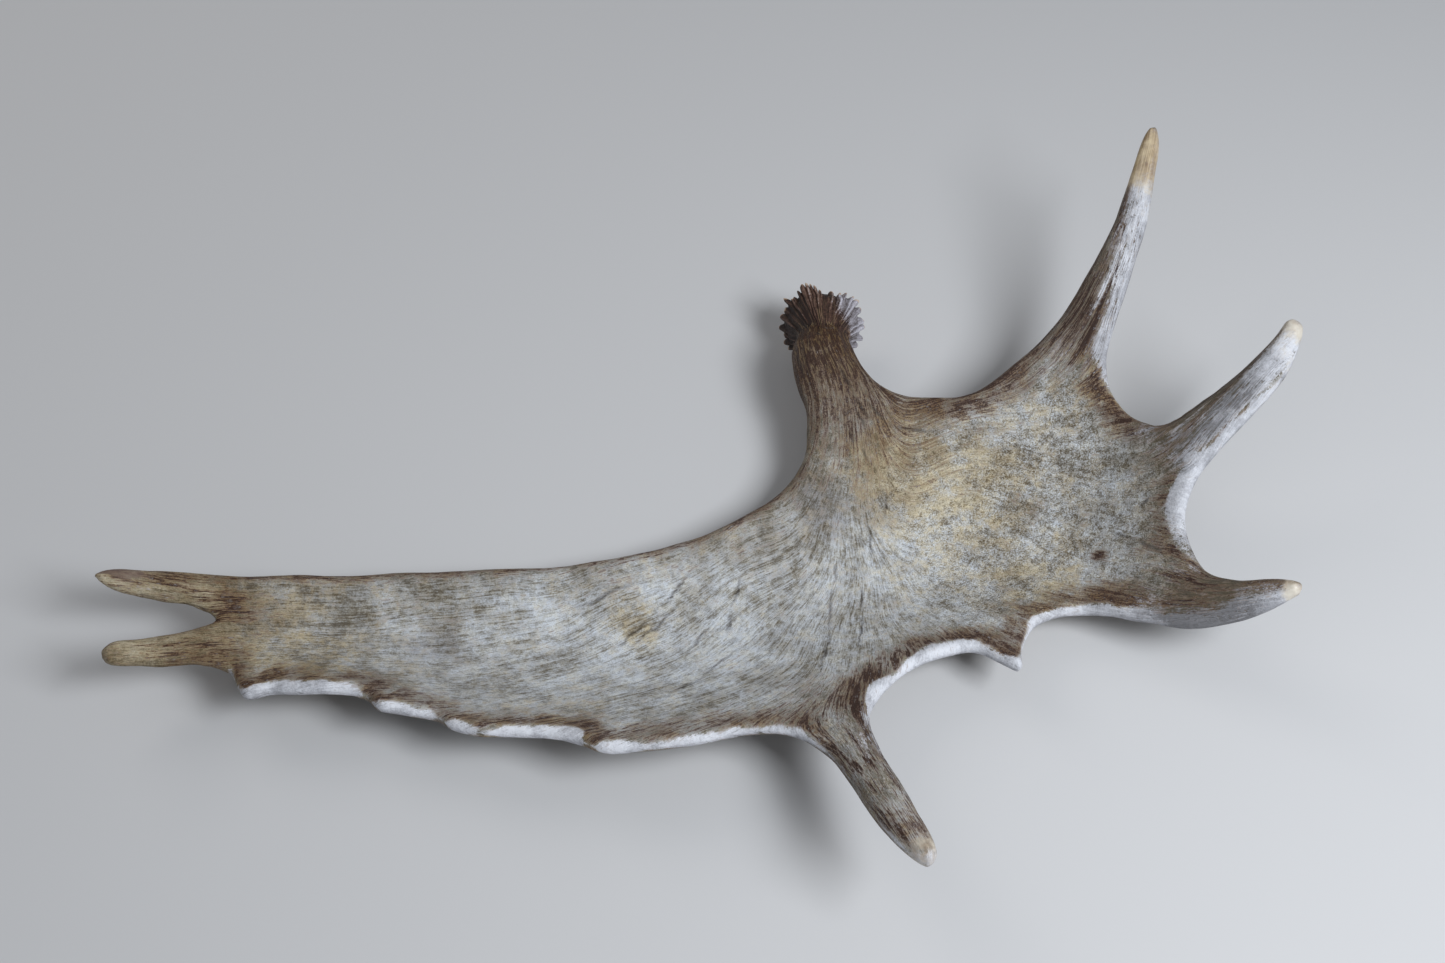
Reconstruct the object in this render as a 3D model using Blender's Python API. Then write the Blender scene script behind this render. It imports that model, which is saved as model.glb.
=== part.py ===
"""A shed moose antler, lying hollow side up: beam with its burr, palm, and six long tines.

The antler is one bone. Its palm, beam and tines are drawn as one outline on the floor plan and
given a height above the floor everywhere. That curved sheet is then thickened: 11 mm in the palm,
with a round rim, and up to the full round of each tine and of the beam. The burr is a turned,
ribbed collar that is joined to the beam. The bone is parted where each tine and the beam fork
from the palm.

Metres, +Z up, +X towards the brow side, +Y towards the burr. All the lists below are in mm.
"""

import math

import bmesh
import bpy
import numpy as np
from mathutils import Matrix, Vector
from mathutils.geometry import delaunay_2d_cdt

MM = 0.001

# ---------------------------------------------------------------- driving dimensions, mm
PALM_HALF = 5.5  # half the thickness of the palm, and the radius of its rim
RIM_STEP = 10.0  # spacing of the facets round the rim
SHEET_STEP = 21.0  # spacing of the facets on the open palm
RIM_TURNS = (30, 62, 90)  # degrees round the rim's quarter circle, one ring of points each
RIM_CHECK_STEP = 3.0  # spacing of the finer rim line that distances are measured to
CUT_GAP = 0.3  # clear space where two pieces of the bone meet
CUT_TOP, CUT_BOTTOM, CUT_OVER = 240.0, -20.0, 1.0  # reach of the cutting boxes past the bone
BURR_CENTRE = (83.4, 141.5, 32.0)
BURR_LEAN = 30.0  # degrees that the beam runs downhill into the burr
BURR_KNOBS = 26
BURR_PROFILE = [  # (distance past the rim, radius on a rib, radius between ribs)
    (-30, 13, 13), (-22, 18.5, 17.5), (-14, 22.5, 20), (-8, 27.5, 24), (-3.5, 33, 28.5), (0, 37, 32),
    (3.5, 36, 31.5), (5.5, 30, 28), (7, 20, 19.5),
]
BURR_SEAL = 9.0  # the middle of the cast face stands this far past the rim
BURR_WORN = (78, 30, 0.2)  # the knobs round this angle, within this many degrees, lost this share
BURR_WORN_FROM = -16.0  # and the loss starts this far before the rim
SHARP = 40.0  # degrees between facets that meet at an edge, not in a round
ORIGIN = (-6.7, -75.2, 0.0)  # middle of the finished antler's box, at floor level

# The edge of the palm and tines on the floor plan, (x, y), anticlockwise from the burr.
BEAM_END = [(97, 137), (91, 141), (82, 142), (73, 141), (67, 137)]
BEAM_LEFT = [(65, 125), (61, 109), (57, 94), (61, 55), (68, 30), (68, 12), (64, -12)]
BACK_EDGE = [
    (47, -38), (17, -61), (-17, -80), (-63, -94), (-116, -104), (-192, -109), (-268, -116), (-333, -123),
]
REAR_UPPER_POINT = [
    (-380, -129), (-423, -137), (-449, -145), (-457, -152), (-445, -158), (-414, -157), (-390, -156),
]
REAR_BAY = [(-375, -164)]
REAR_LOWER_POINT = [
    (-390, -177), (-422, -194), (-438, -202), (-443, -212), (-437, -219), (-411, -213), (-376, -204),
]
SCALLOPED_EDGE = [
    (-358, -210), (-347, -228), (-340, -235), (-324, -230), (-296, -230), (-267, -229), (-254, -234),
    (-245, -246), (-226, -248), (-202, -253), (-191, -262), (-170, -268), (-128, -268), (-103, -273),
    (-83, -284), (-51, -281), (-16, -276), (16, -268), (44, -268),
]
NEAR_TINE = [
    (69, -285), (82, -305), (94, -331), (105, -357), (117, -377), (127, -389), (134, -392), (139, -387),
    (139, -376), (131, -351), (120, -321), (109, -291),
]
NEAR_BAY = [(104, -254), (117, -228), (139, -206), (167, -191), (185, -187)]
SPUR = [(202, -199), (216, -208), (220, -188)]
LOW_EDGE = [(233, -161), (253, -151), (285, -154)]
LOW_TINE = [
    (312, -166), (342, -178), (375, -181), (401, -180), (413, -177), (414, -171), (403, -162), (375, -151),
]
FRONT_BAY = [(357, -136), (348, -110), (348, -85), (359, -60)]
FORE_TINE = [
    (377, -40), (403, -17), (428, 6), (439, 26), (442, 38), (435, 46), (424, 36), (400, 20), (370, 4),
]
FORE_BAY = [(343, -6), (323, 8), (309, 30), (304, 53)]
LONG_TINE = [
    (310, 81), (325, 117), (339, 155), (349, 195), (355, 224), (353, 241), (347, 237), (334, 207),
    (317, 165), (293, 130),
]
BEAM_BAY = [(266, 98), (236, 73), (203, 51), (171, 48), (139, 55), (116, 72)]
BEAM_RIGHT = [(106, 96), (103, 110), (101, 125)]
OUTLINE = (
    BEAM_END + BEAM_LEFT + BACK_EDGE + REAR_UPPER_POINT + REAR_BAY + REAR_LOWER_POINT + SCALLOPED_EDGE
    + NEAR_TINE + NEAR_BAY + SPUR + LOW_EDGE + LOW_TINE + FRONT_BAY + FORE_TINE + FORE_BAY + LONG_TINE
    + BEAM_BAY + BEAM_RIGHT
)

# Heights of the middle of the bone above the floor, (x, y, z).
HEIGHTS = [
    (83, 160, 22), (83, 142, 32), (84, 120, 41), (85, 97, 48), (86, 58, 52), (92, 22, 45),  # beam
    (61, -16, 42), (-17, -80, 34), (-94, -102, 30), (-170, -108, 30), (-245, -113, 33),  # back edge
    (-319, -122, 40), (-379, -130, 50),
    (-423, -141, 66), (-457, -152, 84), (-376, -164, 44), (-414, -200, 58), (-443, -213, 74),  # rear
    (-344, -165, 32), (-280, -159, 16), (-206, -159, 9), (-123, -161, 4.7), (-32, -148, 4.7), (29, -123, 10),
    (-342, -231, 50), (-296, -226, 50), (-248, -240, 52), (-192, -260, 54), (-128, -270, 56),
    (-82, -283, 60), (-16, -275, 58), (40, -264, 56),
    (89, -277, 62), (113, -330, 78), (132, -385, 98),  # near tine
    (107, -84, 8), (141, -13, 18), (167, -120, 6.5), (216, -84, 8), (250, -36, 22), (275, -94, 22),
    (297, -13, 44),
    (119, 63, 46), (175, 45, 46), (223, 60, 56), (273, 105, 78),
    (296, 88, 84), (320, 144, 118), (350, 237, 160),  # long tine
    (305, 41, 72), (332, -5, 72),
    (360, -10, 84), (398, 15, 108), (436, 37, 140),  # fore tine
    (351, -77, 76), (351, -119, 70),
    (345, -155, 56), (383, -169, 76), (413, -174, 100),  # low tine
    (282, -152, 36), (240, -162, 34), (216, -203, 44), (182, -185, 38), (144, -201, 44), (111, -238, 52),
]

# Each round branch: where its swelling dies out in the palm, its root, its middle and its tip on
# the plan, then its half width and its half thickness at those four places.
BRANCHES = {
    "beam": ([(112, -60), (93, 25), (83, 80), (82, 143)], (52, 31, 23, 17), (7, 15, 19, 17)),
    "long_tine": ([(255, 15), (290, 82), (325, 150), (350, 234)], (45, 22, 13.5, 6), (6, 11, 12, 6)),
    "fore_tine": ([(285, -45), (350, -20), (400, 12), (435, 38)], (45, 21, 16, 8), (6, 12, 13, 8)),
    "low_tine": ([(265, -110), (335, -150), (378, -165), (408, -172)], (40, 21, 14, 6), (6, 12, 12.5, 6)),
    "near_tine": ([(100, -195), (90, -272), (106, -325), (130, -382)], (45, 19, 14.5, 10), (6, 12, 13, 9)),
    "rear_upper_tine": (
        [(-300, -142), (-380, -143), (-420, -147), (-450, -151)], (26, 14, 10.5, 5.5), (6, 8, 9, 5),
    ),
    "rear_lower_tine": (
        [(-290, -195), (-372, -190), (-405, -203), (-434, -212)], (26, 14, 12, 9), (6, 8, 10, 8),
    ),
}

# How a branch grows out of the palm. Its steps are 0 where the swelling dies out, 1 at its root, 2 at
# its middle and 3 at its tip, and distances from its middle line are in half widths.
SWELL_STEPS = (-0.1, 1.3)  # the swelling rises over these steps
FREE_STEPS = (0.5, 1.5)  # the mound in the palm becomes a branch of its own
TOP_STEPS = (0.3, 1.6)  # the upper side catches up with the lower one
TOP_SHARE = 0.35  # share of the swelling that shows on the palm's upper side
MOUND_REACH = 1.7  # the mound ends at this distance
BRANCH_REACH, BRANCH_FADE = 0.9, 0.35  # the branch is at its full thickness to here, then fades
RIM_SHARE = 0.95  # a branch's rim radius, as a share of its half width

# Where each branch parts from the palm: a point of the cut on the plan, the way the branch leaves
# it in degrees from +X, how far the branch reaches and how wide a cut takes it off.
FORKS = {
    "beam_and_burr": ((92, 62), 93, 140, 62),
    "long_tine": ((290, 95), 57.5, 190, 45),
    "fore_tine": ((362, -14), 34, 120, 45),
    "low_tine": ((343, -154), -17, 100, 42),
    "near_tine": ((95, -290), -70, 140, 45),
    "rear_upper_tine": ((-389, -143), 186, 90, 21),
    "rear_lower_tine": ((-385, -192), 201, 90, 25),
}

BONE_LOOKS = {  # colour and roughness of each piece's bone
    "bone_palm": ((0.42, 0.37, 0.28), 0.6),
    "bone_beam_and_burr": ((0.16, 0.1, 0.06), 0.65),
    "bone_long_tine": ((0.46, 0.4, 0.32), 0.55),
    "bone_fore_tine": ((0.48, 0.45, 0.4), 0.55),
    "bone_low_tine": ((0.42, 0.37, 0.3), 0.55),
    "bone_near_tine": ((0.34, 0.28, 0.2), 0.55),
    "bone_rear_upper_tine": ((0.4, 0.31, 0.2), 0.55),
    "bone_rear_lower_tine": ((0.38, 0.3, 0.19), 0.55),
}


# ---------------------------------------------------------------- the curved sheet
PLAN_UNIT = 100.0  # plan distances go into the sheet's equations in these
SHEET_GIVE = 0.02  # how far the sheet may miss its heights to stay smooth


def smooth_step(low, high, value):
    """0 below low, 1 above high, and a smooth S between."""
    t = np.clip((value - low) / (high - low), 0, 1)
    return t * t * (3 - 2 * t)


def bend_kernel(distance):
    """The thin plate spline's kernel, r^2 log r."""
    return distance**2 * np.log(np.maximum(distance, 1e-9))


class HeightField:
    """The stiff sheet that passes through HEIGHTS with the least bending."""

    def __init__(self, heights):
        data = np.array(heights, float)
        self.places = data[:, :2] / PLAN_UNIT
        count = len(data)
        gaps = np.linalg.norm(self.places[:, None] - self.places[None], axis=2)
        system = np.zeros((count + 3, count + 3))
        system[:count, :count] = bend_kernel(gaps) + SHEET_GIVE * np.eye(count)
        system[:count, count] = system[count, :count] = 1
        system[:count, count + 1 :] = self.places
        system[count + 1 :, :count] = self.places.T
        self.weights = np.linalg.solve(system, np.append(data[:, 2], (0, 0, 0)))

    def z(self, plan):
        plan = np.asarray(plan, float) / PLAN_UNIT
        gaps = np.linalg.norm(plan[:, None] - self.places[None], axis=2)
        return bend_kernel(gaps) @ self.weights[:-3] + self.weights[-3] + plan @ self.weights[-2:]

    def lifted(self, plan):
        """Plan points with their heights."""
        return np.column_stack((plan, self.z(plan)))

    def normals(self, plan, step=0.5):
        dx = (self.z(plan + (step, 0)) - self.z(plan - (step, 0))) / (2 * step)
        dy = (self.z(plan + (0, step)) - self.z(plan - (0, step))) / (2 * step)
        up = np.column_stack((-dx, -dy, np.ones(len(plan))))
        return up / np.linalg.norm(up, axis=1)[:, None]


def spline(points, closed, per_span=12):
    """A centripetal Catmull-Rom curve through the points."""
    p = np.array(points, float)
    if closed:
        p = np.vstack((p[-1:], p, p[:2]))
    else:
        p = np.vstack((2 * p[0] - p[1], p, 2 * p[-1] - p[-2]))
    knots = np.append(0, np.cumsum(np.sqrt(np.linalg.norm(np.diff(p, axis=0), axis=1))))
    pieces = []
    for i in range(1, len(p) - 2):
        k0, k1, k2, k3 = knots[i - 1 : i + 3]
        t = np.linspace(k1, k2, per_span, endpoint=False)[:, None]
        a1 = ((k1 - t) * p[i - 1] + (t - k0) * p[i]) / (k1 - k0)
        a2 = ((k2 - t) * p[i] + (t - k1) * p[i + 1]) / (k2 - k1)
        a3 = ((k3 - t) * p[i + 1] + (t - k2) * p[i + 2]) / (k3 - k2)
        b1 = ((k2 - t) * a1 + (t - k0) * a2) / (k2 - k0)
        b2 = ((k3 - t) * a2 + (t - k1) * a3) / (k3 - k1)
        pieces.append(((k2 - t) * b1 + (t - k1) * b2) / (k2 - k1))
    if not closed:
        pieces.append(p[-2:-1])
    return np.vstack(pieces)


def resampled(loop, step):
    """A closed loop of plan points, walked again in equal steps."""
    ring = np.vstack((loop, loop[:1]))
    along = np.append(0, np.cumsum(np.linalg.norm(np.diff(ring, axis=0), axis=1)))
    places = np.linspace(0, along[-1], round(along[-1] / step), endpoint=False)
    return np.column_stack([np.interp(places, along, ring[:, k]) for k in (0, 1)])


def distance_to_rim(points, rim):
    """Distance from each 3-D point to the closed 3-D rim line."""
    nearest = np.empty(len(points))
    after = np.roll(rim, -1, axis=0) - rim
    length2 = (after**2).sum(axis=1)
    for start in range(0, len(points), 1000):
        p = points[start : start + 1000, None]
        share = np.clip(((p - rim) * after).sum(axis=2) / length2, 0, 1)
        gap = p - rim - share[..., None] * after
        nearest[start : start + 1000] = np.sqrt((gap**2).sum(axis=2).min(axis=1))
    return nearest


# ---------------------------------------------------------------- thickness
def branch_line(name, sheet):
    """3-D points down the middle of a branch, with its half width, half thickness and step at each."""
    centres, widths, heights = BRANCHES[name]
    plan = spline(centres, closed=False)
    steps = np.linspace(0, 3, len(plan))
    widths = np.interp(steps, range(4), widths)
    heights = np.interp(steps, range(4), heights)
    return sheet.lifted(plan), widths, heights, steps


def rounding(points, sheet):
    """(rim radius, greatest half thickness above, and below) at each mid-sheet point.

    All three are the palm's, plus what each branch adds: a soft swelling inside the palm, mostly
    on its underside, and the full round outside it.
    """
    rim_radius = np.full(len(points), PALM_HALF)
    above = np.full(len(points), PALM_HALF**2)
    below = above.copy()
    for name in BRANCHES:
        line, widths, heights, steps = branch_line(name, sheet)
        gaps = np.linalg.norm(points[:, None] - line[None], axis=2)
        index = gaps.argmin(axis=1)
        off = gaps[np.arange(len(points)), index] / widths[index]
        step = steps[index]
        free = smooth_step(*FREE_STEPS, step)
        branch = 1 / (1 + np.maximum(off - BRANCH_REACH, 0) ** 2 / BRANCH_FADE) ** 2
        mound = np.maximum(1 - (off / MOUND_REACH) ** 2, 0) ** 2
        swell = smooth_step(*SWELL_STEPS, step) * (mound + (branch - mound) * free)
        added = (heights[index] ** 2 - PALM_HALF**2) * swell
        above += added * (TOP_SHARE + (1 - TOP_SHARE) * smooth_step(*TOP_STEPS, step))
        below += added
        rim_radius += (RIM_SHARE * widths[index] - PALM_HALF) * free * branch
    return rim_radius, np.sqrt(above), np.sqrt(below)


def plan_points(sheet):
    """(plan points, count of those on the rim, fine rim line).

    The points are the rim, the rings round its quarter circle, and the open sheet.
    """
    loop = spline(OUTLINE, closed=True)
    fine = sheet.lifted(resampled(loop, RIM_CHECK_STEP))
    rim = resampled(loop, RIM_STEP)
    ahead = np.roll(rim, -1, axis=0) - np.roll(rim, 1, axis=0)
    inward = np.column_stack((-ahead[:, 1], ahead[:, 0]))
    inward /= np.linalg.norm(inward, axis=1)[:, None]
    radius, _, _ = rounding(sheet.lifted(rim), sheet)
    lift = sheet.z(rim + inward) - sheet.z(rim)
    shrink = 1 / np.sqrt(1 + lift**2)
    kept = [rim]
    for turn in RIM_TURNS:
        depth = radius * (1 - math.cos(math.radians(turn)))
        ring = rim + inward * (depth * shrink)[:, None]
        nearly_deep = 0.9 * depth
        kept.append(ring[distance_to_rim(sheet.lifted(ring), fine) > nearly_deep])
    low, high = rim.min(axis=0), rim.max(axis=0)
    rows = np.arange(low[1], high[1], SHEET_STEP * math.sqrt(0.75))
    columns = np.arange(low[0], high[0], SHEET_STEP)
    x, y = np.meshgrid(columns, rows)
    x[1::2] += SHEET_STEP / 2
    grid = np.column_stack((x.ravel(), y.ravel()))
    lifted = sheet.lifted(grid)
    radius, _, _ = rounding(lifted, sheet)
    clearance = 0.35 * SHEET_STEP
    kept.append(grid[distance_to_rim(lifted, fine) > radius + clearance])
    return np.vstack(kept), len(rim), fine


def blank_bone():
    """The whole bone but for its burr: two sheets that meet along the rim."""
    sheet = HeightField(HEIGHTS)
    plan, rim_count, fine = plan_points(sheet)
    ring = [(i, (i + 1) % rim_count) for i in range(rim_count)]
    found = delaunay_2d_cdt([Vector(p) for p in plan.tolist()], ring, [], 1, 1e-5)
    flat = np.array([tuple(v) for v in found[0]])
    on_rim = np.array([min(ids, default=rim_count) < rim_count for ids in found[3]])
    triangles = np.array(found[2])
    middle = sheet.lifted(flat)
    radius, above, below = rounding(middle, sheet)
    share = np.clip(distance_to_rim(middle, fine) / radius, 0, 1)
    share[on_rim] = 0
    arch = np.sqrt(1 - (1 - share) ** 2)[:, None]
    up = sheet.normals(flat)
    under_index = np.arange(len(flat)) + len(flat)
    under_index[on_rim] = np.flatnonzero(on_rim)
    points = np.vstack((middle + up * arch * above[:, None], middle - up * arch * below[:, None]))
    faces = np.vstack((triangles, under_index[triangles][:, ::-1]))
    return mesh_of("bone", points, faces.tolist())


def burr_solid():
    """A ribbed collar that opens like a bell from the beam, and the rough face that lay on the skull."""
    lean = math.radians(BURR_LEAN)
    along = np.array((0, math.cos(lean), -math.sin(lean)))
    upward = np.array((0, math.sin(lean), math.cos(lean)))
    columns = 2 * BURR_KNOBS
    angle = np.radians(np.arange(columns) * 360 / columns)
    worn_at, worn_width, worn_share = BURR_WORN
    worn = np.clip(1 - ((np.degrees(angle) - worn_at) / worn_width) ** 2, 0, 1) * worn_share
    outward = np.cos(angle)[:, None] * (1, 0, 0) + np.sin(angle)[:, None] * upward
    rows = []
    for past, on_rib, between in BURR_PROFILE:
        kept = 1 - worn * smooth_step(BURR_WORN_FROM, 0, past)
        radius = np.where(np.arange(columns) % 2, between, on_rib) * kept
        rows.append(along * past + outward * radius[:, None])
    ends = (along * BURR_PROFILE[0][0], along * BURR_SEAL)
    points = np.vstack([*rows, *ends]) + BURR_CENTRE
    last = len(points) - 1
    faces = []
    for i in range(columns):
        j = (i + 1) % columns
        for row in range(len(rows) - 1):
            low, high = row * columns, (row + 1) * columns
            faces.append((low + i, low + j, high + j, high + i))
        faces.append((last - 1, j, i))
        faces.append((last, high + i, high + j))
    return mesh_of("burr", points, faces)


# ---------------------------------------------------------------- Blender objects
def mesh_of(name, points, faces):
    """A closed mesh from points in mm, moved so that the origin is the middle of the antler's box."""
    mesh = bpy.data.meshes.new(name)
    mesh.from_pydata((points - ORIGIN) * MM, [], faces)
    work = bmesh.new()
    work.from_mesh(mesh)
    bmesh.ops.delete(work, geom=[v for v in work.verts if not v.link_faces], context="VERTS")
    bmesh.ops.recalc_face_normals(work, faces=work.faces)
    work.to_mesh(mesh)
    work.free()
    return mesh


def add_object(name, mesh, collection):
    obj = bpy.data.objects.new(name, mesh)
    collection.objects.link(obj)
    return obj


def add_cutter(name, mesh, collection):
    cutter = add_object(name, mesh, collection)
    cutter.hide_render = True
    cutter.display_type = "WIRE"
    return cutter


def add_box(name, low, high, collection, turn=0.0, place=(0.0, 0.0, 0.0)):
    """A cutting box: its corners about its own origin in mm, its turn in degrees, and its place in mm."""
    mesh = bpy.data.meshes.new(name)
    work = bmesh.new()
    bmesh.ops.create_cube(work, size=1)
    size = Vector(high) - Vector(low)
    middle = (Vector(high) + Vector(low)) / 2
    matrix = (
        Matrix.Translation((Vector(place) - Vector(ORIGIN)) * MM)
        @ Matrix.Rotation(math.radians(turn), 4, "Z")
        @ Matrix.Translation(middle * MM)
        @ Matrix.Diagonal((*(size * MM), 1))
    )
    work.transform(matrix)
    work.to_mesh(mesh)
    work.free()
    return add_cutter(name, mesh, collection)


def combine(obj, tool, operation):
    boolean = obj.modifiers.new(tool.name, "BOOLEAN")
    boolean.operation = operation
    boolean.object = tool


def settled_mesh(obj):
    """The mesh that an object's modifiers make, as a plain mesh."""
    depsgraph = bpy.context.evaluated_depsgraph_get()
    return bpy.data.meshes.new_from_object(obj.evaluated_get(depsgraph))


def bone_material(name):
    colour, roughness = BONE_LOOKS[name]
    material = bpy.data.materials.new(name)
    material.use_nodes = True
    shader = material.node_tree.nodes["Principled BSDF"]
    shader.inputs["Base Color"].default_value = (*colour, 1)
    shader.inputs["Roughness"].default_value = roughness
    return material


def whole_antler(cutters):
    """Bone and burr as one body, worn flat where it lies on the floor."""
    bone = add_object("whole_bone", blank_bone(), cutters)
    combine(bone, add_cutter("burr_tool", burr_solid(), cutters), "UNION")
    corner = 600
    floor = add_box("floor_tool", (-corner, -corner, CUT_BOTTOM), (corner, corner, 0), cutters)
    combine(bone, floor, "DIFFERENCE")
    mesh = settled_mesh(bone)
    bpy.data.objects.remove(bone)
    return mesh


def part_at_forks(whole, parts, cutters):
    """The palm, less a box over each branch, and each branch, kept where its own box reaches."""
    palm = add_object("palm", whole.copy(), parts)
    over = Vector((0, CUT_OVER, CUT_OVER))
    for name, ((x, y), turn, reach, half_width) in FORKS.items():
        low, high = Vector((0, -half_width, CUT_BOTTOM)), Vector((reach, half_width, CUT_TOP))
        box = add_box(name + "_tool", low, high, cutters, turn, (x, y, 0))
        low.x = -CUT_GAP
        gap_box = add_box(name + "_gap_tool", low - over, high + over, cutters, turn, (x, y, 0))
        branch = add_object(name, whole.copy(), parts)
        combine(branch, box, "INTERSECT")
        combine(palm, gap_box, "DIFFERENCE")
    return list(parts.objects)


def main():
    for obj in list(bpy.data.objects):
        bpy.data.objects.remove(obj)
    parts = bpy.data.collections.new("moose_antler")
    cutters = bpy.data.collections.new("cutters")
    for collection in (parts, cutters):
        bpy.context.scene.collection.children.link(collection)
    whole = whole_antler(cutters)
    for obj in part_at_forks(whole, parts, cutters):
        mesh = settled_mesh(obj)
        obj.modifiers.clear()
        obj.data = mesh
        mesh.materials.clear()
        mesh.materials.append(bone_material("bone_" + obj.name))
        mesh.shade_smooth()
        mesh.set_sharp_from_angle(angle=math.radians(SHARP))
        print(f"{obj.name}: {len(mesh.polygons)} faces")


main()
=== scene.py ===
# %% [markdown]
# # A shed moose antler
#
# An antler is one bone. It grows out of the skull as a round beam, spreads into a broad dished
# palm, and ends in tines. Here it lies hollow side up, as it was found and cleaned. The packed
# solids already have its true size and main shape. This lesson lays a fine bone skin over them:
# the same outline, heights and roundings, worked out much more closely, then ribbed, pitted and
# stained as the real one is.
#
# All the shapes are in millimetres on the antler's own floor plan, and move to the model's frame
# in metres only when a mesh is made.

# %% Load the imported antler
import itertools
import math

import bpy
import numpy as np
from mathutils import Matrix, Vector
from mathutils.geometry import delaunay_2d_cdt


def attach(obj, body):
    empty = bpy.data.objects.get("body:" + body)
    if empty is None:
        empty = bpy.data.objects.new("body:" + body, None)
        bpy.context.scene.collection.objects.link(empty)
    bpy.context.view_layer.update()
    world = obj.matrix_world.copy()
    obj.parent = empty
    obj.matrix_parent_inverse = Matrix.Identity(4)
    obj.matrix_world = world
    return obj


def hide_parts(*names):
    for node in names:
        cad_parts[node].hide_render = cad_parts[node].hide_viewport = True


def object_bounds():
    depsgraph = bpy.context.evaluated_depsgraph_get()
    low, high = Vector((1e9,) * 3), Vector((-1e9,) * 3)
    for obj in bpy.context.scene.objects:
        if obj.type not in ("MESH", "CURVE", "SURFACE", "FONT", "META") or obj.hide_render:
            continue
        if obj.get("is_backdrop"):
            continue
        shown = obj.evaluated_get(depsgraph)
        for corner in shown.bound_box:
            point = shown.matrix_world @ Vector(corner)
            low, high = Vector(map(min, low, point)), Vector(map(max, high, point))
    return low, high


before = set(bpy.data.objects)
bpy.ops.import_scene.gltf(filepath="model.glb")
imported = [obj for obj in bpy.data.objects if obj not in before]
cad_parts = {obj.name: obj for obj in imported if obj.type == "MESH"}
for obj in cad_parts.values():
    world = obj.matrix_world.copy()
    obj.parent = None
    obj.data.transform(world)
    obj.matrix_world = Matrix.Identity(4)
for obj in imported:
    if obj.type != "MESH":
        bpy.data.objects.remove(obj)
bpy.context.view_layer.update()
print("solids:", sorted(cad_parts))

MM = 0.001
ORIGIN = np.array((-6.7, -75.2, 0.0))  # the place on the drawing that is the model's origin

# %% [markdown]
# ## The edge and the heights
# Everything hangs on one closed line, the edge of palm and tines seen from straight above. It is
# drawn by a few points with a smooth curve through them, because that is how the real edge looks:
# long sweeps between small notches.

# %% The edge on the floor plan, anticlockwise from the burr
BEAM_END = [(97, 137), (91, 141), (82, 142), (73, 141), (67, 137)]
BEAM_LEFT = [(65, 125), (61, 109), (57, 94), (61, 55), (68, 30), (68, 12), (64, -12)]
BACK_EDGE = [
    (47, -38), (17, -61), (-17, -80), (-63, -94), (-116, -104), (-192, -109), (-268, -116),
    (-333, -123),
]
REAR_UPPER_POINT = [
    (-380, -129), (-423, -137), (-449, -145), (-457, -152), (-445, -158), (-414, -157), (-390, -156),
]
REAR_BAY = [(-375, -164)]
REAR_LOWER_POINT = [
    (-390, -177), (-422, -194), (-438, -202), (-443, -212), (-437, -219), (-411, -213), (-376, -204),
]
SCALLOPED_EDGE = [
    (-358, -210), (-347, -228), (-340, -235), (-324, -230), (-296, -230), (-267, -229), (-254, -234),
    (-245, -246), (-226, -248), (-202, -253), (-191, -262), (-170, -268), (-128, -268), (-103, -273),
    (-83, -284), (-51, -281), (-16, -276), (16, -268), (44, -268),
]
NEAR_TINE = [
    (69, -285), (82, -305), (94, -331), (105, -357), (117, -377), (127, -389), (134, -392),
    (139, -387), (139, -376), (131, -351), (120, -321), (109, -291),
]
NEAR_BAY = [(104, -254), (117, -228), (139, -206), (167, -191), (185, -187)]
SPUR = [(202, -199), (216, -208), (220, -188)]
LOW_EDGE = [(233, -161), (253, -151), (285, -154)]
LOW_TINE = [
    (312, -166), (342, -178), (375, -181), (401, -180), (413, -177), (414, -171), (403, -162),
    (375, -151),
]
FRONT_BAY = [(357, -136), (348, -110), (348, -85), (359, -60)]
FORE_TINE = [
    (377, -40), (403, -17), (428, 6), (439, 26), (442, 38), (435, 46), (424, 36), (400, 20), (370, 4),
]
FORE_BAY = [(343, -6), (323, 8), (309, 30), (304, 53)]
LONG_TINE = [
    (310, 81), (325, 117), (339, 155), (349, 195), (355, 224), (353, 241), (347, 237), (334, 207),
    (317, 165), (293, 130),
]
BEAM_BAY = [(266, 98), (236, 73), (203, 51), (171, 48), (139, 55), (116, 72)]
BEAM_RIGHT = [(106, 96), (103, 110), (101, 125)]
OUTLINE = (
    BEAM_END + BEAM_LEFT + BACK_EDGE + REAR_UPPER_POINT + REAR_BAY + REAR_LOWER_POINT + SCALLOPED_EDGE
    + NEAR_TINE + NEAR_BAY + SPUR + LOW_EDGE + LOW_TINE + FRONT_BAY + FORE_TINE + FORE_BAY + LONG_TINE
    + BEAM_BAY + BEAM_RIGHT
)


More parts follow.
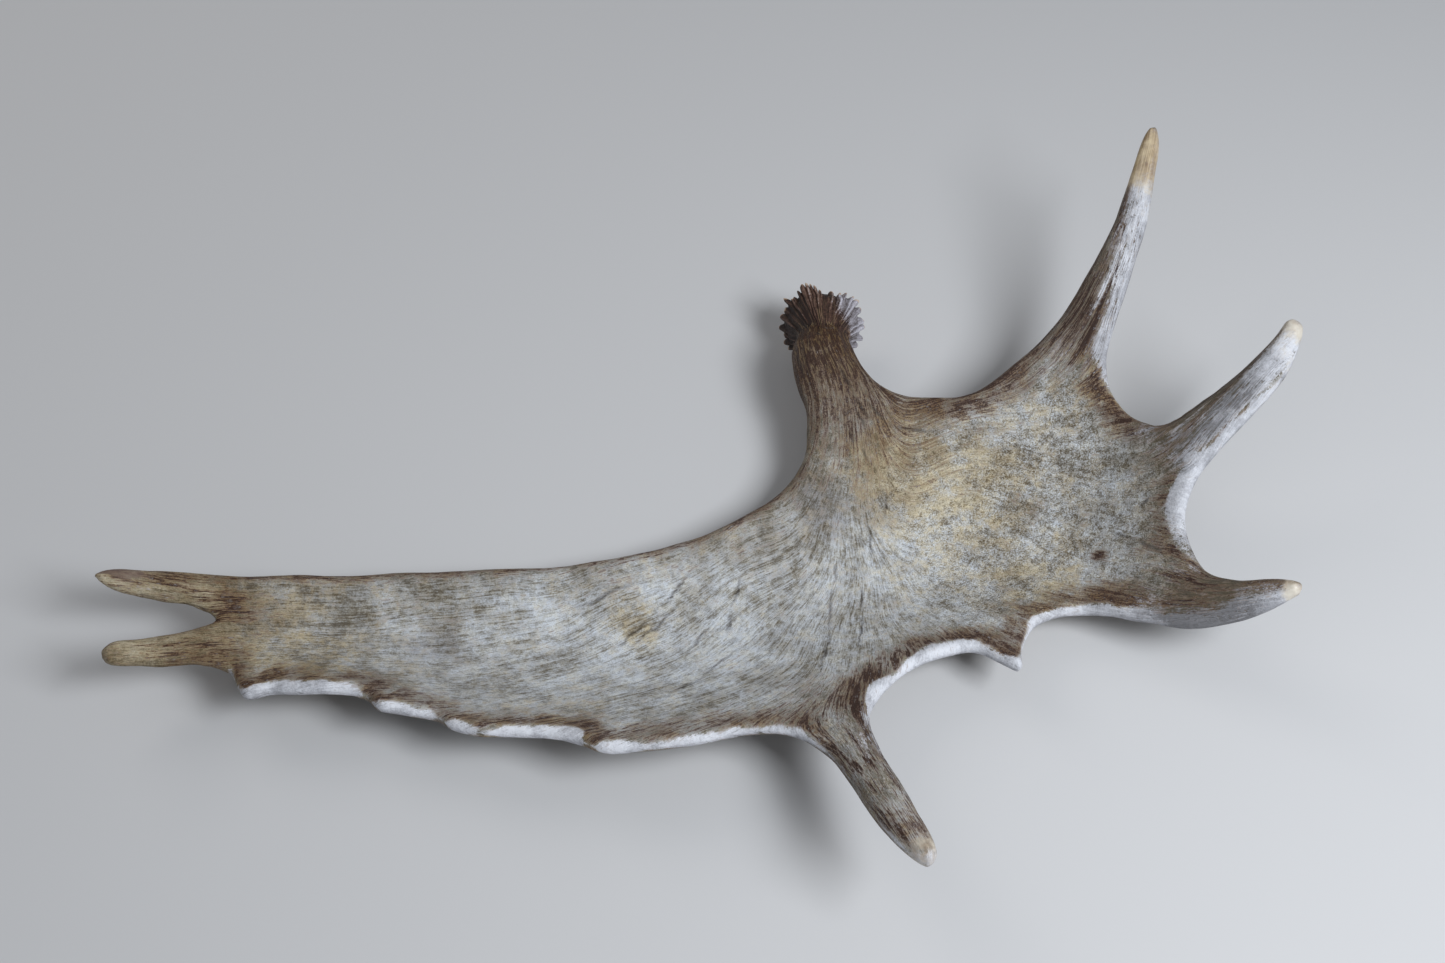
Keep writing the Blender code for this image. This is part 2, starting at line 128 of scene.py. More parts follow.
def smooth_curve(points, closed, per_span):
    """A centripetal Catmull-Rom curve: each span blends the parabolas through its neighbours."""
    p = np.array(points, float)
    before, past = (p[-1:], p[:2]) if closed else (2 * p[0] - p[1], 2 * p[-1] - p[-2])
    p = np.vstack((before, p, past))
    knots = np.append(0, np.cumsum(np.sqrt(np.linalg.norm(np.diff(p, axis=0), axis=1))))
    pieces = []
    for i in range(1, len(p) - 2):
        k0, k1, k2, k3 = knots[i - 1 : i + 3]
        t = np.linspace(k1, k2, per_span, endpoint=False)[:, None]
        a1 = ((k1 - t) * p[i - 1] + (t - k0) * p[i]) / (k1 - k0)
        a2 = ((k2 - t) * p[i] + (t - k1) * p[i + 1]) / (k2 - k1)
        a3 = ((k3 - t) * p[i + 1] + (t - k2) * p[i + 2]) / (k3 - k2)
        b1 = ((k2 - t) * a1 + (t - k0) * a2) / (k2 - k0)
        b2 = ((k3 - t) * a2 + (t - k1) * a3) / (k3 - k1)
        pieces.append(((k2 - t) * b1 + (t - k1) * b2) / (k2 - k1))
    if not closed:
        pieces.append(p[-2:-1])
    return np.vstack(pieces)


def smooth_step(low, high, value):
    """0 below low, 1 above high, and t squared times (3 - 2 t) at the share t of the way."""
    t = np.clip((value - low) / (high - low), 0, 1)
    return t * t * (3 - 2 * t)


edge = smooth_curve(OUTLINE, closed=True, per_span=24)
steps_along = np.linalg.norm(np.diff(edge, axis=0), axis=1)
print("edge length in metres:", round(float(steps_along.sum()) * MM, 2))

# %% [markdown]
# The heights of the middle of the bone come from a stiff sheet that passes near some 80 measured
# places with as little bending as it can. That is a thin plate spline, and it is the natural
# surface for bone, which has no flat panels. The same sheet is used again below, to spread a
# second number over the plan: which growth line each place is on.

# %% The stiff sheet
HEIGHTS = [
    (83, 160, 22), (83, 142, 32), (84, 120, 41), (85, 97, 48), (86, 58, 52), (92, 22, 45),  # beam
    (61, -16, 42), (-17, -80, 34), (-94, -102, 30), (-170, -108, 30), (-245, -113, 33),  # back edge
    (-319, -122, 40), (-379, -130, 50),
    (-423, -141, 66), (-457, -152, 84), (-376, -164, 44), (-414, -200, 58), (-443, -213, 74),  # rear
    (-344, -165, 32), (-280, -159, 16), (-206, -159, 9), (-123, -161, 4.7), (-32, -148, 4.7),
    (29, -123, 10),  # the hollow
    (-342, -231, 50), (-296, -226, 50), (-248, -240, 52), (-192, -260, 54), (-128, -270, 56),
    (-82, -283, 60), (-16, -275, 58), (40, -264, 56),  # scalloped edge
    (89, -277, 62), (113, -330, 78), (132, -385, 98),  # near tine
    (107, -84, 8), (141, -13, 18), (167, -120, 6.5), (216, -84, 8), (250, -36, 22), (275, -94, 22),
    (297, -13, 44),  # brow palm
    (119, 63, 46), (175, 45, 46), (223, 60, 56), (273, 105, 78),  # bay beside the beam
    (296, 88, 84), (320, 144, 118), (350, 237, 160),  # long tine
    (305, 41, 72), (332, -5, 72),  # fore bay
    (360, -10, 84), (398, 15, 108), (436, 37, 140),  # fore tine
    (351, -77, 76), (351, -119, 70),  # front bay
    (345, -155, 56), (383, -169, 76), (413, -174, 100),  # low tine
    (282, -152, 36), (240, -162, 34), (216, -203, 44), (182, -185, 38), (144, -201, 44),
    (111, -238, 52),  # near bay
]
PLAN_UNIT = 100.0  # keeps the sheet's equations near one
AT_ONCE = 4000  # points worked out together, so that the arrays stay small


def in_batches(function, points, at_once=AT_ONCE):
    """function over many points, a few thousand at a time."""
    parts = [function(points[i : i + at_once]) for i in range(0, len(points), at_once)]
    if isinstance(parts[0], tuple):
        return tuple(map(np.concatenate, zip(*parts)))
    return np.concatenate(parts)


class StiffSheet:
    """value = a + b x + c y + the sum over known places of weight times r squared times log r.

    The weights are the ones that bend the sheet least, and `give` lets it miss a place a little.
    """

    def __init__(self, places, values, give):
        self.places = np.array(places, float) / PLAN_UNIT
        count = len(self.places)
        system = np.zeros((count + 3, count + 3))
        system[:count, :count] = self.bend(self.places) + give * np.eye(count)
        system[:count, count] = system[count, :count] = 1
        system[:count, count + 1 :] = self.places
        system[count + 1 :, :count] = self.places.T
        self.weights = np.linalg.solve(system, np.append(values, (0, 0, 0)))

    def bend(self, plan):
        r = np.linalg.norm(plan[:, None] - self.places[None], axis=2)
        return r**2 * np.log(np.maximum(r, 1e-9))

    def __call__(self, plan):
        def values(some):
            return self.bend(some) @ self.weights[:-3] + self.weights[-3] + some @ self.weights[-2:]

        return in_batches(values, np.asarray(plan, float) / PLAN_UNIT)

    def slope(self, plan, step=0.5):
        """Rise per millimetre along x and along y, from places half a millimetre to each side."""
        dx = (self(plan + (step, 0)) - self(plan - (step, 0))) / (2 * step)
        dy = (self(plan + (0, step)) - self(plan - (0, step))) / (2 * step)
        return np.column_stack((dx, dy))


measured = np.array(HEIGHTS)
height = StiffSheet(measured[:, :2], measured[:, 2], give=0.02)


def lifted(plan):
    """Plan points with their heights."""
    return np.column_stack((plan, height(plan)))


print("height at the middle of the brow palm:", height([(167, -120)]).round(1), "mm")

# %% [markdown]
# ## How thick the bone is
# The palm is a plate of 11 mm with a round rim. Each tine, and the beam, is a fuller round that
# swells out of the plate. So every place gets three numbers: the radius of the rim nearest to it,
# and the half thickness above and below the middle sheet. A branch adds to them by how near its
# middle line is. This keeps the whole antler one skin, with no seam where a tine begins.

# %% Branches and their swellings
PALM_HALF = 5.5  # half the palm's thickness, and its rim's radius
# (place where the swelling dies out, root, middle, tip), half widths and half thicknesses there
BRANCHES = {
    "beam": ([(112, -60), (93, 25), (83, 80), (82, 143)], (52, 31, 23, 17), (7, 15, 19, 17)),
    "long_tine": (
        [(255, 15), (290, 82), (325, 150), (350, 234)], (45, 22, 13.5, 6), (6, 11, 12, 6),
    ),
    "fore_tine": (
        [(285, -45), (350, -20), (400, 12), (435, 38)], (45, 21, 16, 8), (6, 12, 13, 8),
    ),
    "low_tine": (
        [(265, -110), (335, -150), (378, -165), (408, -172)], (40, 21, 14, 6), (6, 12, 12.5, 6),
    ),
    "near_tine": (
        [(100, -195), (90, -272), (106, -325), (130, -382)], (45, 19, 14.5, 10), (6, 12, 13, 9),
    ),
    "rear_upper_tine": (
        [(-300, -142), (-380, -143), (-420, -147), (-450, -151)], (26, 14, 10.5, 5.5), (6, 8, 9, 5),
    ),
    "rear_lower_tine": (
        [(-290, -195), (-372, -190), (-405, -203), (-434, -212)], (26, 14, 12, 9), (6, 8, 10, 8),
    ),
}
STEPS = range(4)  # 0 where the swelling dies out, 1 root, 2 middle, 3 tip
CORE = 0.9  # a branch is full up to this many half widths from its middle line
FADE = 0.35  # and how slowly it fades beyond that
MOUND = 1.7  # how many half widths its root's low mound reaches
UPPER_ROOT = 0.35  # the share of a root's swelling that shows on the upper side


def along_branch(points, name):
    """Step along a branch, distance from its middle in half widths, half width, half thickness."""
    centres, widths, heights = BRANCHES[name]
    line = lifted(smooth_curve(centres, closed=False, per_span=60))
    steps = np.linspace(0, 3, len(line))

    def nearest(some):
        gaps = np.linalg.norm(some[:, None] - line[None], axis=2)
        index = gaps.argmin(axis=1)
        return gaps[np.arange(len(some)), index], steps[index]

    gap, step = in_batches(nearest, points)
    width = np.interp(step, STEPS, widths)
    return step, gap / width, width, np.interp(step, STEPS, heights)


def rounding(points):
    """Rim radius, half thickness above and below, and how much each place belongs to each branch.

    A free branch counts 1 / (1 + (distance beyond its core)^2 / FADE)^2, and the mound at its root
    (1 - (distance / MOUND)^2)^2. What they add is squared thickness, so that the thickest wins.
    """
    radius = np.full(len(points), PALM_HALF)
    above = radius**2
    below = radius**2
    belongs = {}
    for name in BRANCHES:
        step, off, width, thickness = along_branch(points, name)
        free = smooth_step(0.5, 1.5, step)
        branch = 1 / (1 + np.maximum(off - CORE, 0) ** 2 / FADE) ** 2
        mound = np.maximum(1 - (off / MOUND) ** 2, 0) ** 2
        swell = smooth_step(-0.1, 1.3, step) * (mound + (branch - mound) * free)
        added = (thickness**2 - PALM_HALF**2) * swell
        above += added * (UPPER_ROOT + (1 - UPPER_ROOT) * smooth_step(0.3, 1.6, step))
        below += added
        radius += (0.95 * width - PALM_HALF) * free * branch
        belongs[name] = (step, smooth_step(0.25, 1.2, step) * branch)
    return radius, np.sqrt(above), np.sqrt(below), belongs


radius, above, below, _ = rounding(lifted(np.array([(167.0, -120.0), (85.0, 97.0)])))
print("half thickness under the brow palm and the beam:", below.round(1), "mm")

# %% [markdown]
# ## Where the points go
# A rim looks round only if it has several rows of points round its curve, and the beam's ribs need
# points a millimetre apart, while the open palm needs far fewer. So the points are laid in rings
# inside the edge, evenly round the rim's quarter circle, and on a triangular grid in the open
# palm. Blender's own Delaunay triangulation then joins them into well shaped triangles.

# %% Rings and grid
RIM_STEP, BEAM_STEP = 1.6, 0.95  # spacing of points along the edge, mm
PALM_STEP = 2.5
RIM_LINE_STEP = 3.0  # the coarser copy of the edge that distances are measured to
BEAM_PLACE, BEAM_REACH = np.array((83.0, 118.0)), (30, 75)
RING_GAP = 1.1  # rings stand this much further apart than the points along the edge
FEWEST_RINGS = 4
TRUE_DEPTH = 0.92  # a ring's point that is less deep than this share is too near another side


def edge_spacing(plan):
    """Points stand closest along the beam, and reach the usual spacing 75 mm from its middle."""
    away = np.linalg.norm((plan - BEAM_PLACE) / (1, 1.2), axis=1)
    return BEAM_STEP + (RIM_STEP - BEAM_STEP) * smooth_step(*BEAM_REACH, away)


def walked(loop, spacing):
    """A closed loop walked in steps of spacing(point): equal steps of length / spacing, summed."""
    ring = np.vstack((loop, loop[:1]))
    length = np.linalg.norm(np.diff(ring, axis=0), axis=1)
    count = np.append(0, np.cumsum(length / spacing(loop)))
    places = np.linspace(0, count[-1], round(count[-1]), endpoint=False)
    return np.column_stack([np.interp(places, count, ring[:, k]) for k in (0, 1)])


def to_rim(points, rim):
    """Distance from each point to the closed rim line, and the way on the plan to its nearest."""
    after = np.roll(rim, -1, axis=0) - rim
    length2 = (after**2).sum(axis=1)

    def nearest(some):
        share = np.clip(((some[:, None] - rim) * after).sum(axis=2) / length2, 0, 1)
        gap = rim + share[..., None] * after - some[:, None]
        far = (gap**2).sum(axis=2)
        index = far.argmin(axis=1)
        rows = np.arange(len(some))
        return np.sqrt(far[rows, index]), gap[rows, index, :2]

    return in_batches(nearest, points, at_once=700)


rim = walked(edge, edge_spacing)
rim_line = lifted(walked(edge, lambda plan: np.full(len(plan), RIM_LINE_STEP)))
tangent = np.roll(rim, -1, axis=0) - np.roll(rim, 1, axis=0)
inward = np.column_stack((-tangent[:, 1], tangent[:, 0]))
inward /= np.linalg.norm(inward, axis=1)[:, None]
rim_radius = rounding(lifted(rim))[0]
shrink = 1 / np.sqrt(1 + (height(rim + inward) - height(rim)) ** 2)
quarter = rim_radius * math.pi / 2
rings = np.maximum(np.round(quarter / (RING_GAP * edge_spacing(rim))), FEWEST_RINGS).astype(int)
kept = [rim]
for number in range(1, rings.max() + 1):
    here = rings >= number
    depth = rim_radius[here] * (1 - np.cos(number / rings[here] * math.pi / 2))
    ring = rim[here] + inward[here] * (depth * shrink[here])[:, None]
    kept.append(ring[to_rim(lifted(ring), rim_line)[0] > TRUE_DEPTH * depth])

low, high = rim.min(axis=0), rim.max(axis=0)
row_gap = PALM_STEP * math.sqrt(0.75)
x, y = np.meshgrid(np.arange(low[0], high[0], PALM_STEP), np.arange(low[1], high[1], row_gap))
x[1::2] += PALM_STEP / 2
grid = np.column_stack((x.ravel(), y.ravel()))
depth = to_rim(lifted(grid), rim_line)[0]
kept.append(grid[depth > rounding(lifted(grid))[0] + 0.5 * PALM_STEP])
plan_points = np.vstack(kept)
print("points on the plan:", len(plan_points), "of them on the rim:", len(rim))

# %% [markdown]
# ## Growth lines
# Bone is laid down along the way that the antler grew, so its grooves, streaks and cracks all run
# from the burr through the beam and fan out to the tines and the palm's edge. Each line below is
# one such path, with its share of the beam's width: 0 at the beam's left side, 1 at its right. A
# second stiff sheet spreads the share over the whole plan, and a streak is then simply a place
# where the share has a certain value. On a tine the lines run side by side to its tip.

# %% Growth lines, each from the foot of the beam outwards
GROWTH_LINES = {
    0.0: [(68, 12), (47, -38), (-17, -80), (-116, -104), (-268, -116), (-360, -126)],
    0.06: [(71, 15), (40, -52), (-37, -85), (-161, -113), (-286, -128), (-360, -140)],
    0.13: [(74, 10), (22, -61), (-98, -112), (-224, -138), (-300, -152), (-372, -165)],
    0.2: [(78, 5), (18, -72), (-100, -131), (-223, -163), (-343, -180)],
    0.27: [(82, 0), (56, -61), (-2, -96), (-109, -165), (-200, -195), (-290, -207), (-345, -222)],
    0.34: [(86, -6), (60, -72), (2, -108), (-103, -180), (-200, -218), (-290, -229)],
    0.4: [(88, -16), (72, -82), (14, -122), (-32, -168), (-110, -210), (-210, -248)],
    0.46: [(90, -26), (76, -100), (36, -168), (-29, -212), (-100, -244), (-160, -266)],
    0.51: [(92, -36), (84, -125), (52, -198), (0, -236), (-60, -262), (-95, -277)],
    0.55: [(95, -40), (90, -140), (72, -210), (35, -245), (-10, -272)],
    0.575: [(96, -45), (94, -145), (82, -218), (64, -255), (48, -268)],
    0.6: [(98, -50), (98, -150), (90, -225)],
    0.63: [(101, -45), (106, -140), (108, -205), (104, -248)],
    0.66: [(105, -32), (120, -110), (132, -165), (146, -200)],
    0.7: [(110, -20), (145, -95), (185, -155), (208, -190)],
    0.735: [(116, -5), (165, -65), (225, -118), (290, -152)],
    0.765: [(119, 0), (170, -48), (245, -96), (310, -135)],
    0.8: [(121, 6), (180, -22), (265, -62), (340, -118)],
    0.84: [(122, 14), (185, -2), (270, -28), (335, -70), (349, -92)],
    0.89: [(124, 24), (188, 12), (262, 0), (325, -22)],
    0.93: [(124, 34), (190, 25), (255, 22), (310, 26)],
    0.965: [(122, 47), (180, 38), (235, 44), (275, 66)],
    1.0: [(116, 72), (139, 55), (171, 48), (236, 73), (262, 95)],
}
# Each tine's share at its middle line, and the change from there to either flank
TINE_SHARES = {
    "rear_upper_tine": (0.045, 0.035), "rear_lower_tine": (0.2, 0.04), "near_tine": (0.6, 0.025),
    "low_tine": (0.765, 0.03), "fore_tine": (0.885, 0.03), "long_tine": (0.97, 0.03),
}
BEAM_STATIONS = [(67, 101, 137), (60, 104, 105), (59, 108, 80), (61, 118, 60)]  # left x, right x, y
BURR_CENTRE = np.array((83.4, 141.5, 32.0))
PER_STEP, FIRST = 4, 5  # points on each step of a tine's middle line, and the first that counts

line_places, line_shares = [], []
for share, points in GROWTH_LINES.items():
    in_beam = [(left + share * (right - left), y) for left, right, y in BEAM_STATIONS]
    line_places += in_beam + points
    line_shares += [share] * (len(in_beam) + len(points))
for name, (share, change) in TINE_SHARES.items():
    centres, widths, _ = BRANCHES[name]
    line = smooth_curve(centres, closed=False, per_span=PER_STEP)[FIRST:]
    ahead = np.gradient(line, axis=0)
    left = np.column_stack((-ahead[:, 1], ahead[:, 0])) / np.linalg.norm(ahead, axis=1)[:, None]
    width = np.interp(np.linspace(FIRST / PER_STEP, 3, len(line)), STEPS, widths)[:, None]
    for side in (-1, 0, 1):
        line_places += (line + side * width * left).tolist()
        line_shares += [share + side * change] * len(line)
growth = StiffSheet(line_places, line_shares, give=0.08)
print(len(GROWTH_LINES), "growth lines through", len(line_places), "places")

# %% [markdown]
# ## From points to skin
# Each plan point becomes two, one on the upper side and one below, at the half thickness times a
# quarter circle: the square root of 1 - (1 - depth / radius)^2, with depth the distance inside
# the edge. On the edge itself that is zero, and there both sides share one point, so the skin is
# closed.

# %% The plain skin
ring = [(i, (i + 1) % len(rim)) for i in range(len(rim))]
found = delaunay_2d_cdt(plan_points.tolist(), ring, [], 1, 1e-5)
used, triangles = np.unique(np.array(found[2]), return_inverse=True)
triangles = triangles.reshape(-1, 3)
plan = np.array(found[0])[used]
rim_number = np.array([min(ids, default=len(rim)) for ids in found[3]])[used]
on_rim = rim_number < len(rim)
middle = lifted(plan)
radius, above, below, belongs = rounding(middle)
depth, to_edge = to_rim(middle, rim_line)
to_edge[on_rim] = -inward[rim_number[on_rim]]  # there the way has a direction but no length
share_in = np.clip(depth / radius, 0, 1)
share_in[on_rim] = 0
arch = np.sqrt(1 - (1 - share_in) ** 2)[:, None]
slope = height.slope(plan)
up = np.column_stack((-slope, np.ones(len(plan))))
up /= np.linalg.norm(up, axis=1)[:, None]

inner = np.flatnonzero(~on_rim)
under_index = np.arange(len(plan))
under_index[inner] = len(plan) + np.arange(len(inner))
source = np.append(np.arange(len(plan)), inner)  # the plan point of every point of the skin
is_under = np.arange(len(source)) >= len(plan)
half = np.where(is_under, -below[source], above[source])[:, None]
skin = middle[source] + half * (up * arch)[source]
faces = np.vstack((triangles, under_index[triangles][:, ::-1]))
print("skin:", len(skin), "points,", len(faces), "triangles")


def point_normals(points, faces):
    """Each point's outward direction: the sum of its triangles' cross products."""
    a, b, c = (points[faces[:, k]] for k in range(3))
    cross = np.cross(b - a, c - a)
    total = np.column_stack([
        sum(np.bincount(faces[:, k], cross[:, axis], len(points)) for k in range(3))
        for axis in range(3)
    ])
    return total / np.maximum(np.linalg.norm(total, axis=1), 1e-12)[:, None]


# %% [markdown]
# Four measures follow every point of the skin into its relief and its colour: how far it is from
# the edge along the curved surface, its growth line, how far out from the burr it is, and how
# close the growth lines lie there. Round the rim the plan is foreshortened, so the growth line is
# read from a place pushed outwards by as much as the round surface is longer than its shadow.

# %% Measures on the skin
turn = np.arccos(np.clip(1 - share_in, 0, 1))
from_edge = (radius * turn + np.maximum(depth - radius, 0))[source]
outward = to_edge / np.maximum(np.linalg.norm(to_edge, axis=1), 1e-9)[:, None]
unrolled = plan + outward * (radius * (math.pi / 2 - turn - np.cos(turn)))[:, None]
line_share = growth(unrolled)[source]
closeness = np.linalg.norm(growth.slope(unrolled), axis=1)[source]
from_burr = np.linalg.norm(skin - BURR_CENTRE, axis=1)
plan, outward = plan[source], outward[source]
belongs = {name: (step[source], amount[source]) for name, (step, amount) in belongs.items()}
normals = point_normals(skin, faces)
print("share crossed per metre, least and most:", (np.percentile(closeness, (1, 99)) / MM).round(1))

# %% [markdown]
# ## Relief
# A skin this clean would look like plastic. Real bone swells and sinks a little everywhere, its rim
# is never quite even, and beam and tines are ribbed lengthwise, between the channels where blood
# vessels lay while the antler grew. These could be sculpted by hand with brushes. Here each is a
# noise, worked out for all points at once and added along the skin's normal, so that it is in the
# mesh itself and shows from every side.

# %% Noise on a lattice, and noise that follows the growth lines
PRIMES = np.array((73856093, 19349663, 83492791), np.uint64)
MIXER = np.uint64(0xFF51AFD7ED558CCD)  # a number known to mix the bits of others well


def lattice_noise(places, seed):
    """Smooth random numbers from -1 to 1, with a fresh one at every whole-number corner.

    A corner's number comes from multiplying and mixing its coordinates. A place between corners
    blends those round it by t squared times (3 - 2 t), with t its share of the way.
    """
    corner = np.floor(places)
    t = places - corner
    t = t * t * (3 - 2 * t)
    corner = corner.astype(np.int64).astype(np.uint64)
    total = np.zeros(len(places))
    for step in itertools.product((0, 1), repeat=places.shape[1]):
        key = (corner + np.array(step, np.uint64)) * PRIMES[: len(step)]
        key = key.sum(axis=1, dtype=np.uint64) + np.uint64(seed)
        for _ in range(3):
            key = (key ^ (key >> np.uint64(33))) * MIXER
        total += np.where(step, t, 1 - t).prod(axis=1) * ((key >> np.uint64(40)) / 2.0**23 - 1)
    return total


def grown_noise(flow, width, length, seed):
    """Creased noise with cells `width` mm across the growth lines and `length` mm along them.

    The share changes faster where the lines lie close. So two noises are blended, with 2^n and
    2^(n+1) cells to the beam's width, n being the octave that suits the lines' closeness there.
    """
    share, along, level, side = flow.T
    octave = level - math.log2(width)
    whole = np.floor(octave)
    blend = smooth_step(0, 1, octave - whole)
    places = (np.column_stack((share * 2 ** (whole + n), along / length, side)) for n in (0, 1))
    coarse, fine = (np.abs(lattice_noise(place, seed)) for place in places)
    return coarse + (fine - coarse) * blend


SIDE_STEP = 25  # mm on the underside for each new set of streaks
FEWEST, MOST = 0.0012, 0.05  # how much of the share one millimetre may cross
# share, distance from the burr, octave at 1 mm, and a way onto the underside that starts at the rim
side = np.where(is_under, from_edge / SIDE_STEP, 0)
level = np.log2(1 / np.clip(closeness, FEWEST, MOST))
flow = np.column_stack((line_share, from_burr, level, side))
print("octaves, fewest and most:", level.min().round(1), level.max().round(1))

# %% Swellings, an uneven rim, ribs and channels
TINES = [name for name in BRANCHES if name != "beam"]
NEAR_WAY = (0.3, -0.95)  # the way on the plan from the palm's middle to its near edge


def over_tines(value):
    """The largest that any tine gives each point, from its step there and how much it belongs."""
    return np.max([value(*belongs[name]) for name in TINES], axis=0)


on_beam = 1 - smooth_step(95, 230, from_burr)
on_tine = over_tines(lambda step, amount: amount * (1 - smooth_step(1.9, 2.8, step)))
at_tip = over_tines(lambda step, amount: amount * smooth_step(1.9, 2.7, step))
near_edge = smooth_step(-0.2, 0.7, outward @ NEAR_WAY)  # 1 where the nearest edge is a near one
scalloped = smooth_step(-10, -60, plan[:, 0]) * near_edge
by_rim = np.exp(-((from_edge / 9) ** 2))

# Swellings 6 and 2 cm long, an uneven rim, then ribs and channels that follow the growth lines
relief = 0.55 * lattice_noise(skin / 62, 1) + 0.22 * lattice_noise(skin / 21, 2)
relief += by_rim * (0.35 + 0.5 * scalloped) * lattice_noise(skin / 17, 3)
relief += by_rim * (0.1 + 0.3 * scalloped) * lattice_noise(skin / 7, 6)
ribs = grown_noise(flow, 5.0, 60, 4) - 0.3
fine_ribs = grown_noise(flow, 2.7, 40, 5) - 0.3
relief += (1.3 * on_beam + 1.3 * on_tine + 0.12) * ribs
relief += (0.5 * on_beam + 0.6 * on_tine + 0.05) * fine_ribs
skin = skin + relief[:, None] * normals
skin[:, 2] = np.maximum(skin[:, 2], 0)  # where it rests, the floor has worn it flat
normals = point_normals(skin, faces)
print("relief from", relief.min().round(2), "to", relief.max().round(2), "mm")

# %% [markdown]
# ## Where the colours lie
# An antler's colours are its history. Blood and bark stained it brown while it hardened, mostly in
# the grooves of the beam and of the tines' roots, and in a band along the edges. Rubbing polished
# the tips and whitened the sides that met branches. Lying outside, it went grey in the hollow. Each
# of these is a soft mask over the points. Shade is painted in too, darker on the fore and low tines
# where they lie away from the light. The material breaks the soft borders up with noise.

# %% Masks for stain and wear
TOWARDS_WEAR = np.array((0.52, -0.72, 0.46))  # the sides that are rubbed white face this way
# How far each tine's sides are rubbed at its root and near its tip, how far they are stained, and
# the step where its polished tip starts. The rear tines have none: 9 is past their ends.
TINE_LOOKS = {
    "long_tine": (-0.22, 0.25, 0.82, 2.5), "fore_tine": (0.2, 0.5, 0.42, 2.95),
    "low_tine": (0.06, 0.1, 0.36, 2.95), "near_tine": (-0.12, -0.2, 0.4, 3.0),
    "rear_upper_tine": (-0.9, -0.9, 0.46, 9.0), "rear_lower_tine": (-0.9, -0.9, 0.42, 9.0),
}
# Distance from the burr in mm, and how brown the beam is there
BEAM_STAIN = [(30, 1.25), (60, 1.15), (82, 1.0), (108, 0.74), (140, 0.4), (175, 0.16), (215, 0.0)]


def patches(*spots):
    """Sum of round patches (x, y, radius, amount): amount times e to the -(distance / radius)^2."""
    x, y, size, amount = np.array(spots, float).T
    far2 = (plan[:, :1] - x) ** 2 + (plan[:, 1:] - y) ** 2
    return (np.exp(-far2 / size**2) * amount).sum(axis=1)


# Brown places besides the edge's own band, clockwise from the beam's right side
stained = patches(
    (118, 31, 28, 0.2), (139, 45, 30, 0.22), (180, 38, 26, 0.15), (225, 52, 28, 0.2),
    (262, 72, 28, 0.15), (296, 60, 16, 0.2), (312, 16, 18, 0.25), (345, -8, 22, 0.35),
    (330, -30, 18, 0.15), (338, -120, 16, 0.1), (314, -146, 20, 0.25), (350, -152, 14, 0.15),
    (285, -142, 20, 0.1), (245, -148, 16, 0.15), (208, -188, 16, 0.45), (185, -178, 14, 0.25),
    (150, -190, 18, 0.25), (122, -215, 20, 0.25), (95, -235, 28, 0.34), (97, -260, 13, 0.6),
    (97, -282, 10, 0.8), (106, -303, 9, 0.6), (66, -250, 20, 0.3), (60, -238, 30, 0.2),
    (30, -258, 14, 0.15), (-60, -268, 16, 0.2), (-170, -256, 14, 0.2), (-245, -232, 16, 0.3),
    (-330, -218, 20, 0.35), (-356, -190, 18, 0.15), (-368, -150, 15, 1.0), (-346, -152, 22, 0.35),
    (-398, -156, 12, 0.25), (-403, -137, 14, 0.3), (-400, -193, 14, 0.3), (-445, -148, 12, 0.3),
    (-425, -198, 10, 0.3),
)
swell = lattice_noise(plan / 24, 21)  # larger and smaller places in the band, a few cm long
# How far in from the edge the rubbed white reaches, mm. It is widest in the front bay.
rub_width = near_edge * (5.5 + 4 * swell + 2 * lattice_noise(plan / 9, 22)) + patches(
    (352, -85, 26, 15), (358, -58, 16, 8), (344, -118, 16, 7), (160, -196, 24, 6),
    (118, -228, 14, 6), (216, -206, 8, 8), (-254, -232, 7, -7), (-200, -254, 8, -6),
    (-93, -280, 9, -6), (-300, -232, 26, 4), (312, -166, 18, 5), (342, -178, 25, 8),
    (375, -181, 22, 8), (306, 52, 16, 4), (318, 14, 16, 3), (335, 2, 14, 2),
)
inside = from_edge - np.maximum(rub_width, 0)
fall = 7 + 10 * np.maximum(near_edge, smooth_step(60, 130, plan[:, 0]))
band = smooth_step(-4, 4, inside) * (1 - smooth_step(0.35 * fall, 2 * fall, inside))
# Brown dashes reach further in than the band itself
wide_band = 0.34 * (1 - smooth_step(6, 46, inside)) * (0.3 + 0.7 * near_edge) * (1 - 0.3 * on_tine)
beam_stain = np.interp(from_burr + 10 * lattice_noise(plan / 16, 8), *zip(*BEAM_STAIN))

facing = normals @ TOWARDS_WEAR + 0.16 * swell
tine_stain, rubbed_side, polished = (np.zeros(len(skin)) for _ in range(3))
branched = over_tines(lambda step, amount: amount)
for name, (rubbed_root, rubbed_tip, browned, tip_step) in TINE_LOOKS.items():
    step, amount = belongs[name]
    whiteness = rubbed_root + (rubbed_tip - rubbed_root) * smooth_step(1.6, 2.5, step)
    reach = 0.7 - 0.4 * smooth_step(1.6, 2.6, step)  # a narrow tip is covered from side to side
    whole = smooth_step(reach - 0.45, reach, amount)
    tine_stain = np.maximum(tine_stain, amount * browned * (1 - 0.5 * smooth_step(1.5, 2.9, step)))
    rubbed_side = np.maximum(rubbed_side, whole * smooth_step(-0.1, 0.8, facing + whiteness))
    polished = np.maximum(polished, whole * smooth_step(tip_step - 0.22, tip_step + 0.14, step))
on_rear = np.maximum(belongs["rear_upper_tine"][1], belongs["rear_lower_tine"][1])
uneven = swell + 1.2 * lattice_noise(plan / 9, 24)
band *= (0.7 + 0.14 * uneven - 0.1 * near_edge) * (1 - 0.4 * on_rear) * (1 - 0.5 * on_tine)
stain = np.maximum.reduce((band + 0.75 * stained, wide_band, beam_stain, tine_stain))
